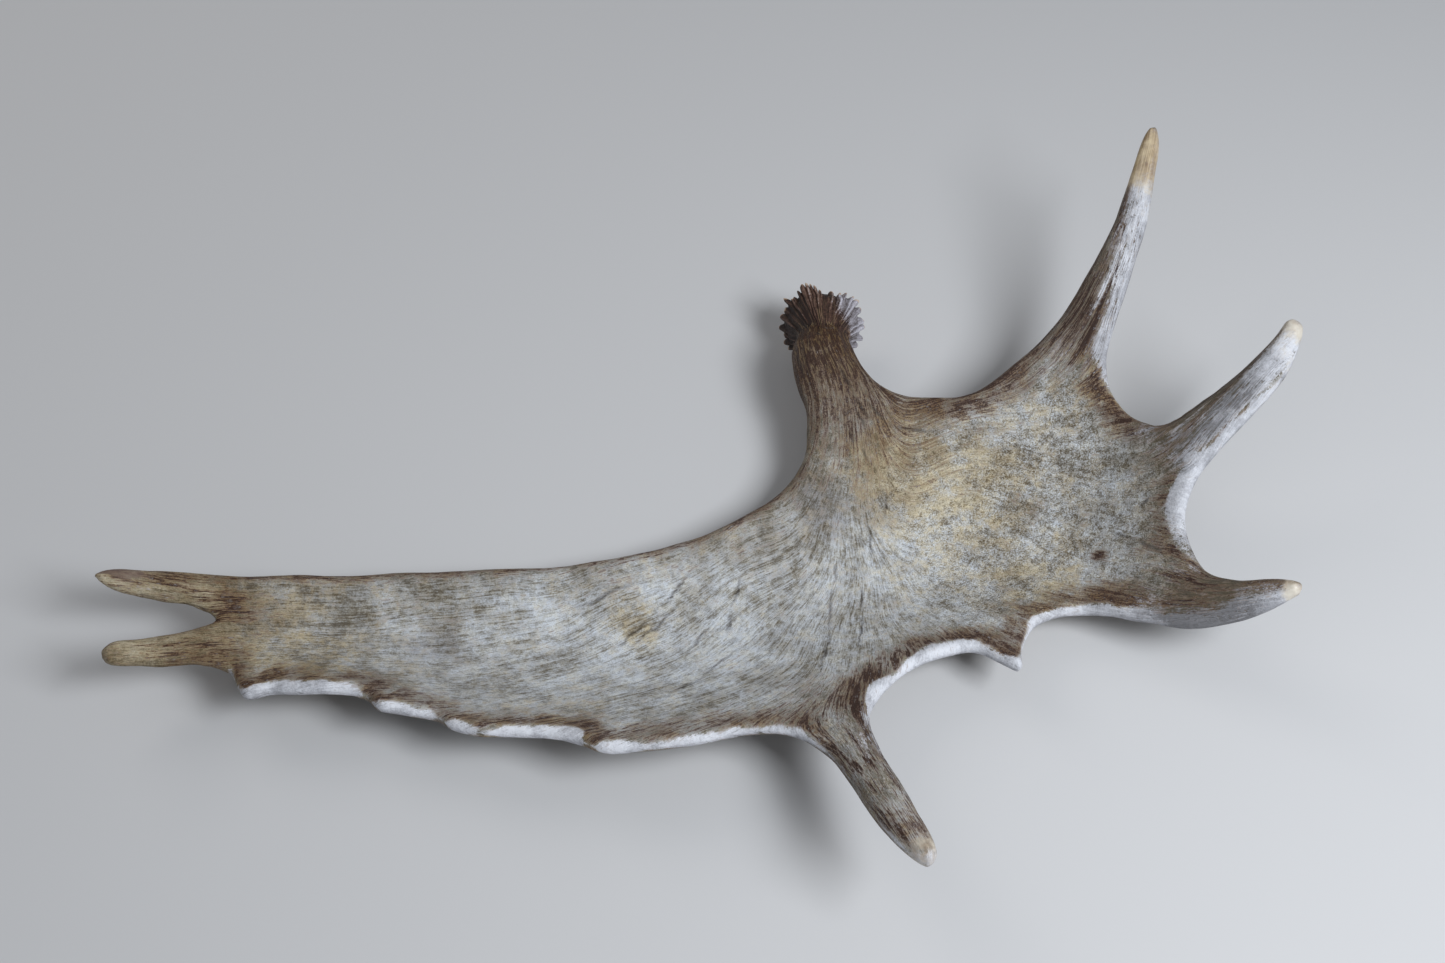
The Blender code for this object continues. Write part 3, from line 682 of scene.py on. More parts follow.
underneath = 0.22 + 0.16 * lattice_noise(skin / 45, 23) + 0.12 * swell
underneath += 0.35 * on_beam + 0.12 * on_tine
stain = np.where(is_under, underneath + (stain - underneath) * np.exp(-from_edge / 14), stain)
stain -= ribs * np.clip(0.2 * on_beam + 0.6 * on_tine, 0, 0.6)  # brown collects in the grooves
from_rub = np.maximum(inside, 0)
grooved = 0.1 + on_tine * (1 - 0.7 * on_rear) + 0.25 * on_beam
grooved = np.clip(grooved + 0.4 * np.exp(-from_rub / 12) * smooth_step(-1, 5, inside), 0, 1)

rubbed_rim = (1 - smooth_step(-3, 3, inside)) * np.sqrt(near_edge)
rubbed_rim *= 1 - smooth_step(0.1, 0.5, on_rear)
palm_below = is_under * smooth_step(14, 30, from_edge) * (1 - smooth_step(0.4, 0.8, branched))
worn = np.maximum(rubbed_rim, 0.94 * rubbed_side) * (1 - palm_below)
worn = np.clip(worn - 0.35 * np.clip(-ribs, 0, 1) * on_tine, 0, 1)
print("share of the skin that is stained:", (stain > 0.5).mean().round(2))
print("share of the skin that is worn:", (worn > 0.5).mean().round(2))

# %% Masks for tints, grain, painted shade and the tines' tips
greyed = patches(
    (80, -51, 24, 1.1), (-212, -169, 26, 0.9), (-228, -175, 8, 0.5), (60, -28, 20, 0.6),
    (340, -95, 20, 0.4), (100, 22, 28, 0.7), (395, 12, 34, 0.5), (100, -315, 40, 0.3),
    (300, -60, 30, 0.3), (425, 30, 20, 0.3),
)
yellowed = 0.36 * np.exp(-from_rub / 25) + patches(
    (-66, -149, 20, 0.9), (150, 0, 50, 0.75), (215, -15, 36, 0.5), (130, -95, 50, 0.25),
    (200, -60, 50, 0.2), (290, 40, 30, 0.4), (118, -10, 30, 0.5), (175, -35, 40, 0.18),
    (280, -30, 40, 0.3), (250, 20, 30, 0.3), (-300, -200, 50, 0.5), (-340, -150, 50, 0.35),
    (-120, -262, 50, 0.3), (240, -110, 50, 0.6), (-410, -200, 50, 1.1), (-420, -145, 50, 1.0),
    (84, 112, 34, 1.2),
)
pitted = patches(  # small dark pits, of which the first, by the low tine, is the darkest
    (290, -99, 5, 1.9), (290, -99, 12, 0.35), (233, -33, 6, 0.7), (246, -45, 7, 0.7),
    (170, 6, 10, 0.25), (200, -20, 9, 0.3), (322, -106, 7, 0.4), (147, -6, 9, 0.35),
    (166, -20, 8, 0.3), (13, -84, 9, 0.4),
)
tint = np.column_stack((greyed, yellowed, pitted))
pale = patches(  # above 0 where the bone is bleached, below 0 where it has darkened and where shade is painted
    (-125, -165, 60, 0.19), (-20, -170, 70, 0.15), (60, -205, 50, 0.04), (163, -62, 48, 0.24),
    (120, -100, 50, 0.1), (168, 6, 30, 0.14), (230, -90, 40, 0.02), (-300, -145, 60, -0.1),
    (-205, -120, 34, -0.15), (80, -51, 34, -0.16), (270, -15, 50, -0.04), (300, -60, 40, -0.02),
    (100, 5, 40, -0.14), (200, -120, 40, -0.04), (-250, -168, 40, 0.12), (-185, -132, 30, 0.05),
    (-350, -160, 28, -0.16), (45, -85, 36, -0.16), (30, -122, 34, -0.1), (-66, -149, 15, -0.18),
    (55, -235, 30, -0.1), (318, -95, 30, -0.1), (240, -45, 26, -0.06), (-207, -130, 30, -0.06),
    # The last two patches of the next row paint shade on the low tine's lower flank, away from the
    # light
    (-295, -150, 50, -0.06), (215, -94, 36, -0.03), (380, -175, 34, -0.26), (340, -172, 24, -0.28),
    (91, 65, 26, -0.14), (343, -90, 24, 0.04), (398, 8, 30, -0.06),
)
rear_upper = belongs["rear_upper_tine"][1]
# Painted shade: the fore and low tines are painted darker, short of their tips, as they lie away from
# the light
shaded = np.maximum(belongs["fore_tine"][1], belongs["low_tine"][1]) * (1 - at_tip)
pale -= 0.34 * shaded + 0.12 * on_tine + 0.12 * is_under
pale -= 0.1 * np.exp(-from_edge / 18) * (1 - near_edge)
pale += 0.05 * on_rear + 0.1 * belongs["near_tine"][1]
pale += 0.25 * rear_upper * near_edge * np.exp(-from_edge / 10)
right_part = smooth_step(85, 150, plan[:, 0] + 0.3 * plan[:, 1])
granular = np.maximum(right_part, 0.7 * on_beam) * (1 - on_tine)  # 1 where grains hide the streaks
tan_tip = polished * (belongs["long_tine"][1] > 0.5)
purple_tip = 1.5 * rear_upper * at_tip * (1 - 0.8 * near_edge)
tip = np.column_stack((polished, tan_tip, purple_tip))
print("share of the skin that is polished:", (polished > 0.5).mean().round(3))

# %% Vessel lines: where single blood vessels lay, each from one place on the plan to another
VESSELS = [
    ((-20, -106), (-51, -136)), ((-51, -136), (-84, -172)), ((-33, -131), (-71, -169)),
    ((-5, -143), (-29, -175)), ((16, -104), (6, -137)), ((6, -137), (4, -157)),
    ((11, -171), (-14, -200)), ((-14, -200), (-40, -224)), ((90, -86), (85, -115)),
    ((85, -115), (80, -160)), ((80, -160), (70, -209)), ((107, -110), (106, -140)),
    ((106, -140), (99, -186)), ((-59, -116), (-117, -139)), ((114, -49), (115, -93)),
    ((92, 66), (104, 40)), ((104, 40), (119, 21)), ((114, 37), (132, 22)), ((132, 22), (171, 20)),
    ((107, 28), (112, 17)), ((101, 13), (104, 1)), ((111, 1), (116, -8)), ((127, -27), (129, -48)),
    ((297, -81), (313, -97)), ((313, -97), (327, -114)), ((319, -70), (327, -64)),
]
print(len(VESSELS), "vessel lines")

# %% [markdown]
# ## The bone material
# The colour is built in layers, as it came about: pale bone with fine short streaks along the
# growth lines, brown stain that is broken up by the same streaks, white worn places over the
# stain, and last the tips. Both the bone and the burr need the streaks, and the thin threads that
# run with them, so each is a node group with named sockets. A painted picture would be easier, but
# it would blur close up and stretch round the tines.

# %% Small helpers that add and join nodes


def add_node(tree, kind, values=None, **options):
    """One node. `values` gives its sockets, by name, a number, a colour or another's output."""
    node = tree.nodes.new(kind)
    for option, value in options.items():
        setattr(node, option, value)
    for name, value in (values or {}).items():
        socket = next(s for s in node.inputs if name in (s.identifier, s.name))
        if isinstance(value, bpy.types.NodeSocket):
            tree.links.new(value, socket)
        else:
            socket.default_value = value
    return node


def first_output(node):
    """The first output that the node's options leave in use."""
    return next(s for s in node.outputs if s.enabled)


def calc(tree, operation, *values):
    """A Math node: one sum on one to three numbers."""
    names = ("Value", "Value_001", "Value_002")
    values = dict(zip(names, values))
    return first_output(add_node(tree, "ShaderNodeMath", values, operation=operation))


def vector_calc(tree, operation, *values):
    """A Vector Math node: one sum on one to three vectors."""
    names = ("Vector", "Vector_001", "Vector_002")
    values = dict(zip(names, values))
    return first_output(add_node(tree, "ShaderNodeVectorMath", values, operation=operation))


def weighted(tree, base, *terms):
    """base + the sum of weight times (value - 0.5), for each (value, weight)."""
    for value, weight in terms:
        base = calc(tree, "MULTIPLY_ADD", calc(tree, "SUBTRACT", value, 0.5), weight, base)
    return base


def noise(tree, where, scale, detail=2.0, roughness=0.5):
    """A Noise Texture's value, stretched to run from 0 to 1."""
    values = {"Vector": where, "Scale": scale, "Detail": detail, "Roughness": roughness}
    return remap(tree, add_node(tree, "ShaderNodeTexNoise", values).outputs["Fac"], 0.34, 0.66)


def remap(tree, value, low, high, to_low=0.0, to_high=1.0):
    """A smooth step from to_low to to_high, as the value goes from low to high."""
    values = {"Value": value, "From Min": low, "From Max": high, "To Min": to_low, "To Max": to_high}
    node = add_node(tree, "ShaderNodeMapRange", values, interpolation_type="SMOOTHSTEP")
    return node.outputs["Result"]


def blend_colours(tree, amount, under, over, mode="MIX"):
    """Two colours mixed: `under` where the amount is 0, `over` where it is 1."""
    values = {"Factor_Float": amount, "A_Color": under, "B_Color": over}
    return first_output(add_node(tree, "ShaderNodeMix", values, data_type="RGBA", blend_type=mode))


def average(tree, first, second, share):
    """Two numbers mixed: the first where the share is 0, the second where it is 1."""
    values = {"Factor_Float": share, "A_Float": first, "B_Float": second}
    return first_output(add_node(tree, "ShaderNodeMix", values))


def ramp(tree, amount, *stops):
    """A Color Ramp with (place, red, green, blue) or (place, red, green, blue, alpha) stops."""
    node = add_node(tree, "ShaderNodeValToRGB", {"Fac": amount})
    elements = node.color_ramp.elements
    for i, (place, *tone) in enumerate(stops):
        stop = elements[i] if i < len(elements) else elements.new(place)
        stop.position, stop.color = place, (*tone, 1.0)[:4]
    return node


def read(tree, name, output="Fac"):
    """One of the mesh's own attributes, as a number, or as a vector where that is asked for."""
    return add_node(tree, "ShaderNodeAttribute", attribute_name=name).outputs[output]


def parts_of(tree, vector):
    """A vector's X, Y and Z."""
    return add_node(tree, "ShaderNodeSeparateXYZ", {"Vector": vector}).outputs


def new_material(name):
    """A material with nodes, its tree and its Principled BSDF."""
    material = bpy.data.materials.new(name)
    material.use_nodes = True
    return material, material.node_tree, material.node_tree.nodes["Principled BSDF"]


def new_group(name, inputs, output):
    """An empty node group, its inputs and its output. An input with no default is a vector."""
    group = bpy.data.node_groups.new(name, "ShaderNodeTree")
    for socket_name, default in inputs.items():
        kind = "NodeSocketVector" if default is None else "NodeSocketFloat"
        socket = group.interface.new_socket(socket_name, in_out="INPUT", socket_type=kind)
        if default is not None:
            socket.default_value = default
    group.interface.new_socket(output, in_out="OUTPUT", socket_type="NodeSocketFloat")
    given = group.nodes.new("NodeGroupInput").outputs
    return group, given, group.nodes.new("NodeGroupOutput").inputs


def use_group(tree, group, **values):
    """The output of a group placed in a tree, with its inputs by name."""
    return add_node(tree, "ShaderNodeGroup", values, node_tree=group).outputs[0]


# %% Growth streaks: noise drawn out along the growth lines
STREAK_INPUTS = {"Flow": None, "Side": 0.0, "Width": 1.5, "Length": 35.0, "Seed": 0.0}
APART = 7.31  # how far apart in the noise two octaves or two seeds lie

streak_group, given, result = new_group("growth streaks", STREAK_INPUTS, "Streak")
parts = parts_of(streak_group, given["Flow"])
width_octave = calc(streak_group, "LOGARITHM", given["Width"], 2.0)
octave = calc(streak_group, "SUBTRACT", parts["Z"], width_octave)
whole = calc(streak_group, "FLOOR", octave)
along = calc(streak_group, "DIVIDE", parts["Y"], given["Length"])
streaks = []
for more in (0.0, 1.0):
    number = calc(streak_group, "ADD", whole, more)
    across = calc(streak_group, "MULTIPLY", parts["X"], calc(streak_group, "POWER", 2.0, number))
    seeded = calc(streak_group, "ADD", number, given["Seed"])
    off = calc(streak_group, "MULTIPLY_ADD", seeded, APART, given["Side"])
    values = {"X": across, "Y": along, "Z": off}
    place = add_node(streak_group, "ShaderNodeCombineXYZ", values).outputs[0]
    streaks.append(noise(streak_group, place, 1.0, 2.0, 0.6))
streak_share = remap(streak_group, calc(streak_group, "FRACT", octave), 0.0, 1.0)
streak_group.links.new(average(streak_group, *streaks, streak_share), result["Streak"])

# %% Growth threads: thin lines, where a streak passes its middle value
thread_group, given, result = new_group("growth threads", {**STREAK_INPUTS, "Thin": 0.1}, "Thread")
streak = use_group(thread_group, streak_group, **{name: given[name] for name in STREAK_INPUTS})
off = calc(thread_group, "ABSOLUTE", calc(thread_group, "SUBTRACT", streak, 0.5))
off = calc(thread_group, "DIVIDE", off, given["Thin"])
thread_group.links.new(remap(thread_group, off, 0.0, 1.0, 1.0, 0.0), result["Thread"])
print("node groups:", [group.name for group in bpy.data.node_groups])

# %% The bone's colours
# Color Ramp stops: place, red, green, blue, and for the stain how much it covers
PALE_BONE = (
    (0.0, 0.10, 0.082, 0.058), (0.25, 0.20, 0.183, 0.152), (0.5, 0.34, 0.336, 0.324),
    (0.75, 0.52, 0.54, 0.56), (1.0, 0.70, 0.74, 0.78),
)
BROWN_STAIN = (
    (0.24, 0.34, 0.28, 0.21, 0.0), (0.46, 0.25, 0.18, 0.122, 0.5), (0.66, 0.15, 0.092, 0.06, 0.82),
    (0.88, 0.08, 0.041, 0.028, 0.96), (1.0, 0.046, 0.023, 0.016, 1.0),
)
WORN_WHITE = ((0.0, 0.205, 0.205, 0.22), (0.5, 0.46, 0.468, 0.51), (1.0, 0.76, 0.78, 0.84))
CREAM_TIP = (0.46, 0.36, 0.26, 1.0), (0.72, 0.66, 0.55, 1.0)
TAN_TIP = (0.24, 0.14, 0.055, 1.0), (0.80, 0.64, 0.38, 1.0)
PURPLE_TIP = (0.17, 0.115, 0.10, 1.0)
FLECK = (0.24, 0.17, 0.12, 1.0)
PALE_THREAD = (0.34, 0.26, 0.15, 1.0)
# These multiply the colour under them
WARM, COOL = (1.03, 0.97, 0.84, 1.0), (0.96, 0.99, 1.06, 1.0)
OCHRE, GREY, VESSEL = (1.0, 0.83, 0.54, 1.0), (0.64, 0.62, 0.63, 1.0), (0.36, 0.35, 0.36, 1.0)
print("colour stops:", len(PALE_BONE), "of bone,", len(BROWN_STAIN), "of stain")


# %% The bone's material, from pale bone to polished tip
def bone_material():
    """Pale streaked bone under stain, wear and polish, all placed by the mesh's own attributes."""
    material, tree, shader = new_material("weathered bone")
    flow, side = read(tree, "flow", "Vector"), read(tree, "side")
    place = add_node(tree, "ShaderNodeTexCoord").outputs["Object"]

    def along_growth(group, width, length, seed, **more):
        values = {"Flow": flow, "Side": side, "Width": width, "Length": length, "Seed": seed}
        return use_group(tree, group, **values, **more)

    dash = along_growth(streak_group, 0.8, 6.0, 1.0)
    hair = along_growth(streak_group, 1.2, 20.0, 2.0)
    strand = along_growth(streak_group, 4.5, 45.0, 3.0)
    short = average(tree, dash, hair, 0.5)
    grain = noise(tree, place, 850.0, 3.0, 0.65)
    crumb = noise(tree, place, 230.0, 4.0, 0.65)
    cloud = noise(tree, place, 34.0, 5.0, 0.62)
    moved = {"Vector": place, "Location": (3.0, 1.0, 2.0)}  # so that the next noises are new ones
    moved = add_node(tree, "ShaderNodeMapping", moved).outputs[0]
    cloud_2 = noise(tree, moved, 60.0, 5.0, 0.62)
    warmth = noise(tree, moved, 130.0, 4.0, 0.6)

    grooved = read(tree, "grooved")
    fine_crease = along_growth(thread_group, 1.6, 11.0, 6.0, Thin=0.12)
    fine_crease = calc(tree, "MULTIPLY", fine_crease, 0.6)
    crease = along_growth(thread_group, 3.4, 24.0, 5.0, Thin=0.10)
    crease = calc(tree, "MULTIPLY", calc(tree, "MAXIMUM", crease, fine_crease), grooved)

    # Pale bone, a little warmer and cooler from place to place, and darker where shade is painted
    pale = read(tree, "pale")
    grained = calc(tree, "MULTIPLY_ADD", read(tree, "granular"), 0.5, 0.35)
    fine = average(tree, short, average(tree, grain, crumb, 0.3), grained)
    terms = (fine, 1.0), (crumb, 0.14), (cloud, 0.34), (cloud_2, 0.16), (strand, 0.26)
    tone = weighted(tree, calc(tree, "ADD", pale, 0.56), *terms)
    bone = ramp(tree, tone, *PALE_BONE).outputs["Color"]
    for spread, tint in (((0.5, 1.0, 0.0, 0.5), WARM), ((0.0, 0.5, 0.5, 0.0), COOL)):
        bone = blend_colours(tree, remap(tree, warmth, *spread), bone, tint, "MULTIPLY")

    # Brown stain, thickest in grooves, creases and pits, with pale threads on the beam
    tints = parts_of(tree, read(tree, "tint", "Vector"))
    broken = average(tree, short, grain, calc(tree, "MULTIPLY", grained, 0.5))
    terms = (broken, 1.25), (cloud_2, 0.24), (strand, 0.16), (crumb, 0.3)
    level = weighted(tree, read(tree, "stain"), *terms)
    lengthwise = calc(tree, "SUBTRACT", average(tree, strand, hair, 0.4), 0.5)
    lengthwise = calc(tree, "MULTIPLY", lengthwise, grooved)
    for value, weight in ((lengthwise, 0.9), (crease, 0.4), (tints["Z"], 0.6)):
        level = calc(tree, "MULTIPLY_ADD", value, weight, level)
    brown = ramp(tree, level, *BROWN_STAIN).outputs
    bone = blend_colours(tree, brown["Alpha"], bone, brown["Color"])
    on_beam = remap(tree, parts_of(tree, flow)["Y"], 60.0, 160.0, 0.65, 0.0)
    threads = along_growth(thread_group, 2.4, 36.0, 8.0, Thin=0.09)
    bone = blend_colours(tree, calc(tree, "MULTIPLY", threads, on_beam), bone, PALE_THREAD)
    ochre = weighted(tree, tints["Y"], (cloud_2, 0.6), (crumb, 0.4), (fine, -0.7))
    bone = blend_colours(tree, remap(tree, ochre, 0.1, 1.1, 0.0, 0.9), bone, OCHRE, "MULTIPLY")
    grey = weighted(tree, tints["X"], (cloud_2, 0.4), (fine, 0.3))
    bone = blend_colours(tree, remap(tree, grey, 0.15, 1.0, 0.0, 0.7), bone, GREY, "MULTIPLY")

    # White where it is rubbed, with brown flecks left in it, and greyer where shade is painted
    worn = read(tree, "worn")
    edged = weighted(tree, worn, (broken, 0.75), (crumb, 0.35), (cloud_2, 0.12))
    whiteness = remap(tree, calc(tree, "MULTIPLY_ADD", crease, -0.4, edged), 0.22, 0.72)
    terms = (short, 0.4), (cloud, 0.5), (cloud_2, 0.3), (grain, 0.2)
    chalk = weighted(tree, calc(tree, "MULTIPLY_ADD", pale, 1.5, 0.84), *terms)
    white = ramp(tree, chalk, *WORN_WHITE).outputs["Color"]
    fleck = weighted(tree, dash, (worn, -0.8), (cloud, 0.4), (crumb, 0.3))
    white = blend_colours(tree, remap(tree, fleck, 0.5, 0.95, 0.0, 0.5), white, FLECK)
    bone = blend_colours(tree, calc(tree, "MULTIPLY", whiteness, 0.93), bone, white)

    # Vessel lines: each is an ellipse round its two ends, on a plan that is bent a little
    bent = vector_calc(tree, "MULTIPLY", calc(tree, "SUBTRACT", cloud_2, 0.5), (0.003, -0.002, 0.0))
    bent = vector_calc(tree, "MULTIPLY_ADD", place, (1.0, 1.0, 0.0), bent)
    nearest = 2.0  # in each line's own frame its ends and its sides are at 1
    for start, end in (np.array(ends) for ends in VESSELS):
        centre, way = ((start + end) / 2 - ORIGIN[:2]) * MM, (end - start) * MM
        line_frame = {
            "Vector": bent,
            "Location": (*centre, 0.0),
            "Rotation": (0.0, 0.0, math.atan2(way[1], way[0])),
            "Scale": (0.6 * math.hypot(*way) + 0.002, 0.0024, 1.0),
        }
        turned = add_node(tree, "ShaderNodeMapping", line_frame, vector_type="TEXTURE").outputs[0]
        nearest = calc(tree, "MINIMUM", nearest, vector_calc(tree, "LENGTH", turned))
    lines = remap(tree, nearest, 0.0, 1.0, 1.0, 0.0)
    lines = calc(tree, "MULTIPLY", lines, remap(tree, side, 0.0, 0.4, 1.0, 0.0))
    strength = calc(tree, "MULTIPLY", lines, remap(tree, short, 0.1, 0.9, 1.0, 0.7))
    bone = blend_colours(tree, strength, bone, VESSEL, "MULTIPLY")

    # Polished tips: cream, tan on the long tine and purple on a rear one
    tips = parts_of(tree, read(tree, "tip", "Vector"))
    cream = blend_colours(tree, cloud_2, *CREAM_TIP)
    tan = blend_colours(tree, average(tree, hair, cloud_2, 0.5), *TAN_TIP)
    cream = blend_colours(tree, tips["Y"], cream, tan)
    polish = weighted(tree, tips["X"], (cloud_2, 0.3), (crumb, 0.3), (short, 0.12))
    polish = remap(tree, polish, 0.15, 0.95)
    covered = calc(tree, "MULTIPLY", polish, 0.85)
    bone = blend_colours(tree, covered, bone, cream)
    purple = remap(tree, weighted(tree, tips["Z"], (cloud_2, 0.5)), 0.3, 1.0, 0.0, 0.7)
    bone = blend_colours(tree, purple, bone, PURPLE_TIP)
    tree.links.new(bone, shader.inputs["Base Color"])
    shader.inputs["Specular IOR Level"].default_value = 0.35

    # Rubbed bone is smoother than weathered bone, and a polished tip is smoothest
    gloss = average(tree, average(tree, 0.6, 0.5, whiteness), 0.36, polish)
    tree.links.new(weighted(tree, gloss, (grain, 0.16)), shader.inputs["Roughness"])
    pits = weighted(tree, 0.5, (fine, 0.5), (crumb, 0.4), (lines, -0.8), (crease, -1.0))
    pits = calc(tree, "MULTIPLY", pits, calc(tree, "SUBTRACT", 1.0, covered))
    bump = {"Strength": 0.7, "Distance": 0.0008, "Height": pits}
    tree.links.new(add_node(tree, "ShaderNodeBump", bump).outputs[0], shader.inputs["Normal"])
    return material


bone = bone_material()
print("nodes in the bone material:", len(bone.node_tree.nodes))

# %% The antler's mesh


def make_piece(name, points, faces, material, attributes):
    """A smooth shaded mesh at the origin, from points in mm on the drawing, with its attributes."""
    mesh = bpy.data.meshes.new(name)
    mesh.from_pydata(((points - ORIGIN) * MM).tolist(), [], faces.tolist())
    mesh.polygons.foreach_set("use_smooth", [True] * len(mesh.polygons))
    for attribute, values in attributes.items():
        flat = values.ndim == 1
        data = mesh.attributes.new(attribute, "FLOAT" if flat else "FLOAT_VECTOR", "POINT").data
        data.foreach_set("value" if flat else "vector", np.asarray(values, np.float32).ravel())
    mesh.materials.append(material)
    piece = bpy.data.objects.new(name, mesh)
    bpy.context.scene.collection.objects.link(piece)
    return piece


antler_masks = {
    "flow": flow[:, :3], "side": side, "stain": stain, "worn": worn, "tip": tip, "tint": tint,
    "granular": granular, "pale": pale, "grooved": grooved,
}
antler = make_piece("antler", skin, faces, bone, antler_masks)
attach(antler, "root")
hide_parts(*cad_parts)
print("antler:", len(antler.data.vertices), "points,", len(antler.data.polygons), "triangles")

# %% [markdown]
# ## The burr
# The burr is the crown of ridges and knobs round the beam's end, where the antler sat on the
# skull. Its ridges rise out of the beam's own ribs, spread like a skirt and end in separate knobs.
# Modelling it as a ring and sticking knobs on would show. So it is one closed sheet: a profile
# carried round the axis, whose radius rises on a ridge and falls between two. Its lowest rows lie
# just under the beam's skin, so that it grows out of the beam without a step.

# %% The burr's ridges
BURR_TILT = math.radians(30)  # its axis runs down and back by this much
BURR_AXES = np.array([  # to the right, up in the ring's plane, and outwards along the beam
    (1, 0, 0),
    (0, math.sin(BURR_TILT), math.cos(BURR_TILT)),
    (0, math.cos(BURR_TILT), -math.sin(BURR_TILT)),
])
# Each knob's angle in degrees from the right over the top, and how far its tip is from the axis, mm
KNOBS = (
    (6, 35), (21, 35), (35, 37), (42, 36), (54, 34), (60, 31.5), (75, 30), (95, 30), (100, 34),
    (106, 37), (112, 39), (118, 39), (126, 36), (138, 33), (145, 40), (157, 34), (170, 36),
    (187, 36), (197, 33), (208, 36), (219, 36), (234, 35.5), (251, 35), (270, 34), (288, 35),
    (304, 35.5), (317, 36), (326, 36), (339, 37), (357, 36),
)
# Place along the axis, radius between ridges, height of a ridge, half width of a ridge: from the
# rows hidden in the beam, over the ring, to the middle of the face
BURR_PROFILE = [
    (-54, 17, 0.4, 1.1), (-46, 17.8, 0.9, 1.1), (-38, 19.2, 1.3, 1.1), (-30, 21.2, 1.6, 1.1),
    (-21, 24.0, 1.8, 1.2), (-12, 27.6, 1.8, 1.5), (-5.5, 30.6, 1.9, 1.9), (-1.5, 32.2, 3.6, 2.8),
    (2.0, 32.5, 4.4, 3.1), (4.2, 31.2, 3.2, 2.9), (5.6, 26, 0.9, 1.8), (6.8, 17, 0.2, 1.6),
    (7.9, 9, 0.0, 1.5), (8.4, 3, 0.0, 1.5),
]
FACE_MIDDLE = 8.8  # where the face closes, mm along the axis
TIP_USUAL = 37.0  # how far from the axis the profile's own knobs reach
RING_RADIUS = 33  # the widths on the ring are measured this far from the axis
BEAM_RADIUS = 19  # and the streaks on the beam this far
BURR_COLUMNS = 540

rows = smooth_curve(BURR_PROFILE, closed=False, per_span=7)
angles = np.linspace(0, 2 * math.pi, BURR_COLUMNS, endpoint=False)
local = (skin - BURR_CENTRE) @ BURR_AXES.T
around = (np.abs(local[:, 2] + 30) < 22) & (np.hypot(local[:, 0], local[:, 1]) < 32)
round_angle = np.arctan2(local[around, 1], local[around, 0])
round_radius = np.hypot(local[around, 0], local[around, 1])
print("points of the beam's skin beside the burr:", around.sum())


def turn_between(first, second):
    """The angle from the second to the first, between minus and plus half a turn."""
    return (first - second + math.pi) % (2 * math.pi) - math.pi


def from_beam(values, stations):
    """The beam skin's values carried to the burr's angles.

    Each is a mean of those round it, weighted by e to the minus (distance squared / 5).
    """
    turns = angles[::4]
    gap2 = (turn_between(round_angle, turns[:, None]) * 18) ** 2
    carried = []
    for station in stations:
        weight = np.exp(-(gap2 + (local[around, 2] - station) ** 2) / 5)
        mean = (weight * values).sum(axis=1) / weight.sum(axis=1)
        carried.append(np.interp(angles, turns, mean, period=2 * math.pi))
    return np.array(carried)


knob_angle, knob_tips = np.array(KNOBS, float).T
knob_angle = np.radians(knob_angle)
spacing = np.diff(knob_angle, append=knob_angle[0] + 2 * math.pi)
knob_room = 0.46 * RING_RADIUS * np.minimum(spacing, np.roll(spacing, 1))  # its widest half width
knob_strength = 0.55 + 0.45 * np.cos(2.4 * np.arange(len(KNOBS)))  # strong and weak in turn


def ridge(turn, row_width):
    """1 on a knob's line, 0 between: the square root of 1 - (distance / half width)^2."""
    gap = np.abs(turn_between(turn[..., None], knob_angle))
    nearest = gap.argmin(axis=-1)
    off = gap.min(axis=-1) * RING_RADIUS / np.minimum(row_width, knob_room[nearest])
    return np.sqrt(np.clip(1 - off**2, 0, 1)), knob_strength[nearest]


# %% The burr's surface
station, between, rise, width = (column[:, None] for column in rows.T)
grid_angle, grid_station = np.meshgrid(angles, station[:, 0])
rightwards, upwards = np.cos(grid_angle), np.sin(grid_angle)
wobble = np.stack((rightwards * 9, upwards * 9, grid_station / 9), axis=-1).reshape(-1, 3)
wobble = lattice_noise(wobble, 11).reshape(grid_angle.shape)
crest, strength = ridge(grid_angle + 0.05 * wobble, width * (1 + 0.2 * wobble))
ringness = np.exp(-(((station - 1) / 7) ** 2))  # 1 on the ring itself
beam_radius = from_beam(round_radius, np.minimum(station[:, 0], -16))
rooted = 1 - smooth_step(-42, -14, station)
sunk = np.interp(station, (-54, -42, -28), (-1.3, -0.8, 0.5))  # the first rows lie in the beam
base = between + (beam_radius + sunk - between) * rooted
web = np.interp(angles, knob_angle, knob_tips, period=2 * math.pi)
burr_radius = base + (web - TIP_USUAL + 0.35 * wobble) * ringness
burr_radius += rise * crest * (strength + (1 - strength) * ringness)
on_face = smooth_step(4.5, 6.5, station)


def flat(values, ends=()):
    """Values on the burr's grid as one row, and after them those of its two end points."""
    return np.append(np.broadcast_to(values, grid_angle.shape).ravel(), ends)


burr_local = np.column_stack((
    flat(burr_radius * rightwards),
    flat(burr_radius * upwards),
    flat(grid_station + 1.2 * wobble * ringness),
))
rough = 0.35 * lattice_noise(burr_local / 2.6, 12) + 0.18 * lattice_noise(burr_local / 1.1, 13)
pits = -0.9 * np.maximum(np.abs(lattice_noise(burr_local / 3.0, 14)) - 0.25, 0)
bulge = rough * flat(smooth_step(-26, -16, station)) + pits * flat(on_face)
outwards = (flat(rightwards * (1 - on_face)), flat(upwards * (1 - on_face)), flat(on_face))
burr_local += bulge[:, None] * np.column_stack(outwards)
ends = np.array([(0, 0, station[0, 0]), (0, 0, FACE_MIDDLE)])
burr_skin = np.vstack((burr_local, ends)) @ BURR_AXES + BURR_CENTRE
burr_skin[:, 2] = np.maximum(burr_skin[:, 2], 0)

